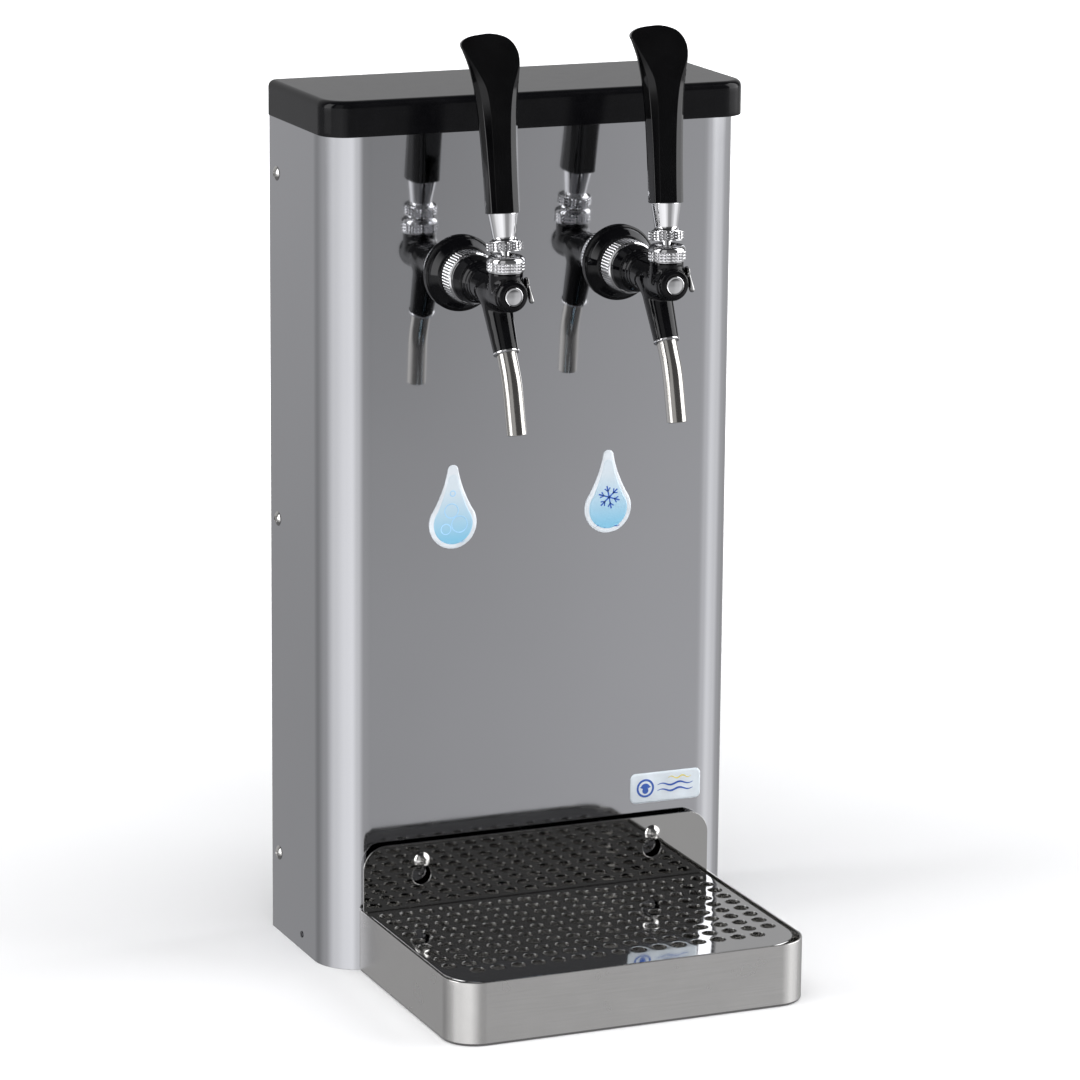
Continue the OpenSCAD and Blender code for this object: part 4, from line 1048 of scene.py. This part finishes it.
def build_badge():
    """A pale domed badge with a plain drop in a ring and waves in place of a name."""
    lo, hi = corners("badge")
    at = move((lo.x + hi.x) / 2, front_y, (lo.z + hi.z) / 2) @ about("X", 90)
    w, h = (hi.x - lo.x) / 2, (hi.z - lo.z) / 2
    outline = rounded([(-w, -h, 4), (w, -h, 4), (w, h, 4), (-w, h, 4)], closed=True, steps=8)
    plate = domed(outline, 0.5, 1.0, 0, 1.4, at)
    piece("badge_plate", plate, "tower", badge_pale, ["badge"])

    def face(x, y):
        """A place on the badge's front."""
        return at @ move(x, y, 0.98)

    ring_x = 11.5 - w
    ring = [(5.3, 0), (5.45, 0.16), (6.8, 0.16), (6.95, 0)]
    marks = [lathe(ring, face(ring_x, 0), 64, closed=True)]
    marks.append(printed(drop_outline(8.2, 5.0, 8), face(ring_x, -4.2) @ Matrix.Scale(0.95, 4)))
    for k in range(2):
        marks.append(wave(14, 1.6 - 4.4 * k, 0.75, face(7.5, 0)))
    piece("badge_mark", merged(*marks), "tower", sign_print)
    piece("badge_swoosh", wave(9, 6.2, 0.5, face(11, 0)), "tower", sign_gold)


# ---------- build ----------
build_shell()
build_lid()
build_side_screws()
skin = tap_skin()
for side in SIDES:
    build_tap_mount(side)
    build_tap_body(side, skin)
    build_bonnet(side)
    build_flow_lever(side)
    build_lever(side)
    build_drop_sign(side)
build_tray()
build_grille()
build_tray_screws()
build_badge()

# Looks of the CAD nodes that stay in view: single nodes, then nodes with a left and a right one
CAD_LOOKS = [
    (steel_panel, ["rear_panel"], []),
    (steel_plain, ["base_plate", "tap_backplate", "inlet_bracket"], []),
    (steel_screw, ["side_nuts", "tray_rivnuts"], ["shank", "valve_shaft"]),
    (black_fitting, [], ["inlet_fitting", "tail_elbow"]),
    (line_white, [], ["product_line"]),
    (foam, [], ["line_sleeve"]),
    (brass, [], ["shank_locknut"]),
    (ring_white, [], ["friction_ring"]),
    (chrome, [], ["lever_stem"]),
    (rubber, [], ["valve_seal"]),
]
for look, nodes, pairs in CAD_LOOKS:
    for node in nodes + [name + "_" + side for name in pairs for side in SIDES]:
        for mat_slot in frame["nodes"][node].material_slots:
            mat_slot.material = look.material

# ---------- studio ----------
# What mirrors see: azimuth in degrees from -Y towards +X, and brightness low and high on the wall
BAND = [
    (-180, 0.38, 0.45),
    (-160, 0.36, 0.42),
    (-137, 0.27, 0.33),
    (-107, 0.44, 0.48),
    (-77, 0.88, 0.90),
    (-47, 1.08, 1.05),
    (-32, 1.12, 1.10),
    (-17, 0.83, 0.80),
    (0, 0.46, 0.32),
    (19, 0.42, 0.30),
    (28, 0.54, 0.48),
    (43, 0.72, 0.68),
    (60, 1.0, 1.0),
    (80, 0.86, 0.9),
    (103, 0.50, 0.55),
    (125, 0.38, 0.45),
    (150, 0.42, 0.5),
    (180, 0.38, 0.45),
]
FLOOR_GREY, SKY_FRONT, SKY_BEHIND = (0.16, 0.16, 0.165), (0.035, 0.035, 0.037), (0.46, 0.46, 0.465)
# Patches in front of that wall: middle azimuth, half width, heights where the foot fades in, colour
BOXES = [
    (8, 31, (-3, 1), (0.09, 0.09, 0.092)),
    (-42, 17, (-3, 1), (0.5, 0.5, 0.505)),
    (-90, 16, (-9, -6), (3.2, 3.2, 3.25)),
    (73, 26, (-9, -6), (3.2, 3.2, 3.25)),
]
BOX_TOP, BOX_SOFT = (48, 56), 3


def build_world():
    """A procedural studio: a softly lit band at mirror height, dark above, with two tall soft boxes."""
    world = bpy.data.worlds.new("studio")
    bpy.context.scene.world = world
    world.use_nodes = True
    tree = world.node_tree
    new, link = tree.nodes.new, tree.links.new
    split = new("ShaderNodeSeparateXYZ")
    link(new("ShaderNodeTexCoord").outputs["Generated"], split.inputs[0])

    def maths(operation, a, b=None, c=None):
        node = new("ShaderNodeMath")
        node.operation = operation
        for k, v in enumerate((a, b, c)):
            if v is None:
                continue
            if isinstance(v, (int, float)):
                node.inputs[k].default_value = v
            else:
                link(v, node.inputs[k])
        return node.outputs[0]

    azimuth = maths("ARCTAN2", split.outputs["X"], maths("MULTIPLY", split.outputs["Y"], -1.0))
    share = maths("MULTIPLY_ADD", azimuth, 1 / (2 * math.pi), 0.5)
    height = maths("MULTIPLY", maths("ARCSINE", split.outputs["Z"]), 180 / math.pi)

    def ramp(column):
        node = new("ShaderNodeValToRGB")
        node.color_ramp.interpolation = "EASE"
        stops = node.color_ramp.elements
        while len(stops) < len(BAND):
            stops.new(0.5)
        for stop, row in zip(stops, BAND):
            stop.position = (row[0] + 180) / 360
            level = row[column]
            stop.color = (level, level, level * 1.02, 1)
        link(share, node.inputs["Fac"])
        return node.outputs["Color"]

    def step(value, start, end):
        node = new("ShaderNodeMapRange")
        node.interpolation_type = "SMOOTHSTEP"
        node.inputs["From Min"].default_value = start
        node.inputs["From Max"].default_value = end
        link(value, node.inputs["Value"])
        return node.outputs["Result"]

    def mix(factor, a, b):
        node = new("ShaderNodeMix")
        node.data_type = "RGBA"
        link(factor, node.inputs["Factor"])
        for v, socket in ((a, node.inputs[6]), (b, node.inputs[7])):
            if isinstance(v, tuple):
                socket.default_value = (*v, 1)
            else:
                link(v, socket)
        return node.outputs[2]

    def box(centre, half, foot):
        """Mask of a patch, 1 inside and 0 outside: middle azimuth, half width and foot in degrees."""
        degrees = maths("MULTIPLY", azimuth, 180 / math.pi)
        off = maths("ABSOLUTE", maths("SUBTRACT", degrees, float(centre)))
        wide = maths("SUBTRACT", 1.0, step(off, half - BOX_SOFT, half + BOX_SOFT))
        tall = maths("MULTIPLY", step(height, *foot), maths("SUBTRACT", 1.0, step(height, *BOX_TOP)))
        return maths("MULTIPLY", wide, tall)

    wall = mix(step(height, -16, -8), ramp(1), ramp(2))
    wall = mix(step(height, -34, -20), FLOOR_GREY, wall)
    sky = mix(step(split.outputs["Y"], 0.2, 0.75), SKY_FRONT, SKY_BEHIND)
    lit = mix(step(height, -6, 3), wall, sky)
    for centre, half, foot, color in BOXES:
        lit = mix(box(centre, half, foot), lit, color)
    link(lit, tree.nodes["Background"].inputs["Color"])


def build_stage():
    """Pale floor for shadows and a pale dome behind it; mirrors look past both at the studio."""
    size = 14.0
    look = Look("stage_floor", (0.86, 0.86, 0.87), roughness=0.7, Emission_Strength=1.0)
    look.tint(look.noise(900), (0.855, 0.86, 0.865), (0.875, 0.875, 0.88))
    reach = look.new("ShaderNodeVectorMath")
    reach.operation = "LENGTH"
    look.link(look.place, reach.inputs[0])
    far = look.ranged(reach.outputs["Value"], 0, 1, 0.15, 1.8)
    glow = look.ramp(far, (0, 0, 0), (0.85, 0.85, 0.855), 0, 1, "EASE")
    look.link(glow, look.shader.inputs["Emission Color"])
    backdrop = bpy.data.materials.new("stage_dome")
    backdrop.use_nodes = True
    tree = backdrop.node_tree
    tree.nodes.clear()
    emit = tree.nodes.new("ShaderNodeEmission")
    emit.inputs["Color"].default_value = (0.93, 0.935, 0.94, 1)
    tree.links.new(emit.outputs[0], tree.nodes.new("ShaderNodeOutputMaterial").inputs[0])
    ground = [(0, 0), (size * 0.3, 0), (size, 0)]
    bowl = [(r, h - 0.01) for r, h in arc((0, 0), size, 0, 90, 9)]
    for name, profile, material in (("floor", ground, look.material), ("dome", bowl, backdrop)):
        verts, faces = lathe(profile, Matrix.Identity(4), 64)
        mesh = bpy.data.meshes.new(name)
        mesh.from_pydata(verts, [], faces)
        mesh.materials.append(material)
        obj = bpy.data.objects.new(name, mesh)
        bpy.context.scene.collection.objects.link(obj)
        obj.visible_glossy = False
        if name == "dome":
            obj.visible_diffuse = False
            obj.visible_shadow = False


def build_lights():
    """One broad soft light overhead, which mirrors don't show."""
    lamp = bpy.data.lights.new("overhead", "AREA")
    lamp.shape = "DISK"
    lamp.size = 3.2
    lamp.energy = 95
    obj = bpy.data.objects.new("overhead", lamp)
    obj.location = (-0.5, -1.0, 3.2)
    obj.rotation_euler = (math.radians(17), math.radians(-9), 0)
    obj.visible_glossy = False
    obj.visible_camera = False
    bpy.context.scene.collection.objects.link(obj)


def build_camera():
    """A long lens from the user's left, a little above the lid."""
    yaw, pitch, roll = 0.4018, 0.238, 0.009
    ahead = Vector((math.sin(yaw) * math.cos(pitch), math.cos(yaw) * math.cos(pitch), -math.sin(pitch)))
    right = Vector((math.cos(yaw), -math.sin(yaw), 0))
    up = right.cross(ahead)
    right, up = math.cos(roll) * right + math.sin(roll) * up, math.cos(roll) * up - math.sin(roll) * right
    data = bpy.data.cameras.new("camera")
    data.lens, data.sensor_width = 162.23, 36
    data.clip_end = 60
    camera = bpy.data.objects.new("camera", data)
    turned = Matrix((right, up, -ahead)).transposed().to_4x4()
    camera.matrix_world = move(-1.310961, -3.149614, 1.118742) @ turned
    bpy.context.scene.collection.objects.link(camera)
    bpy.context.scene.camera = camera


build_world()
build_stage()
build_lights()
build_camera()
bpy.context.scene.view_settings.view_transform = "Standard"
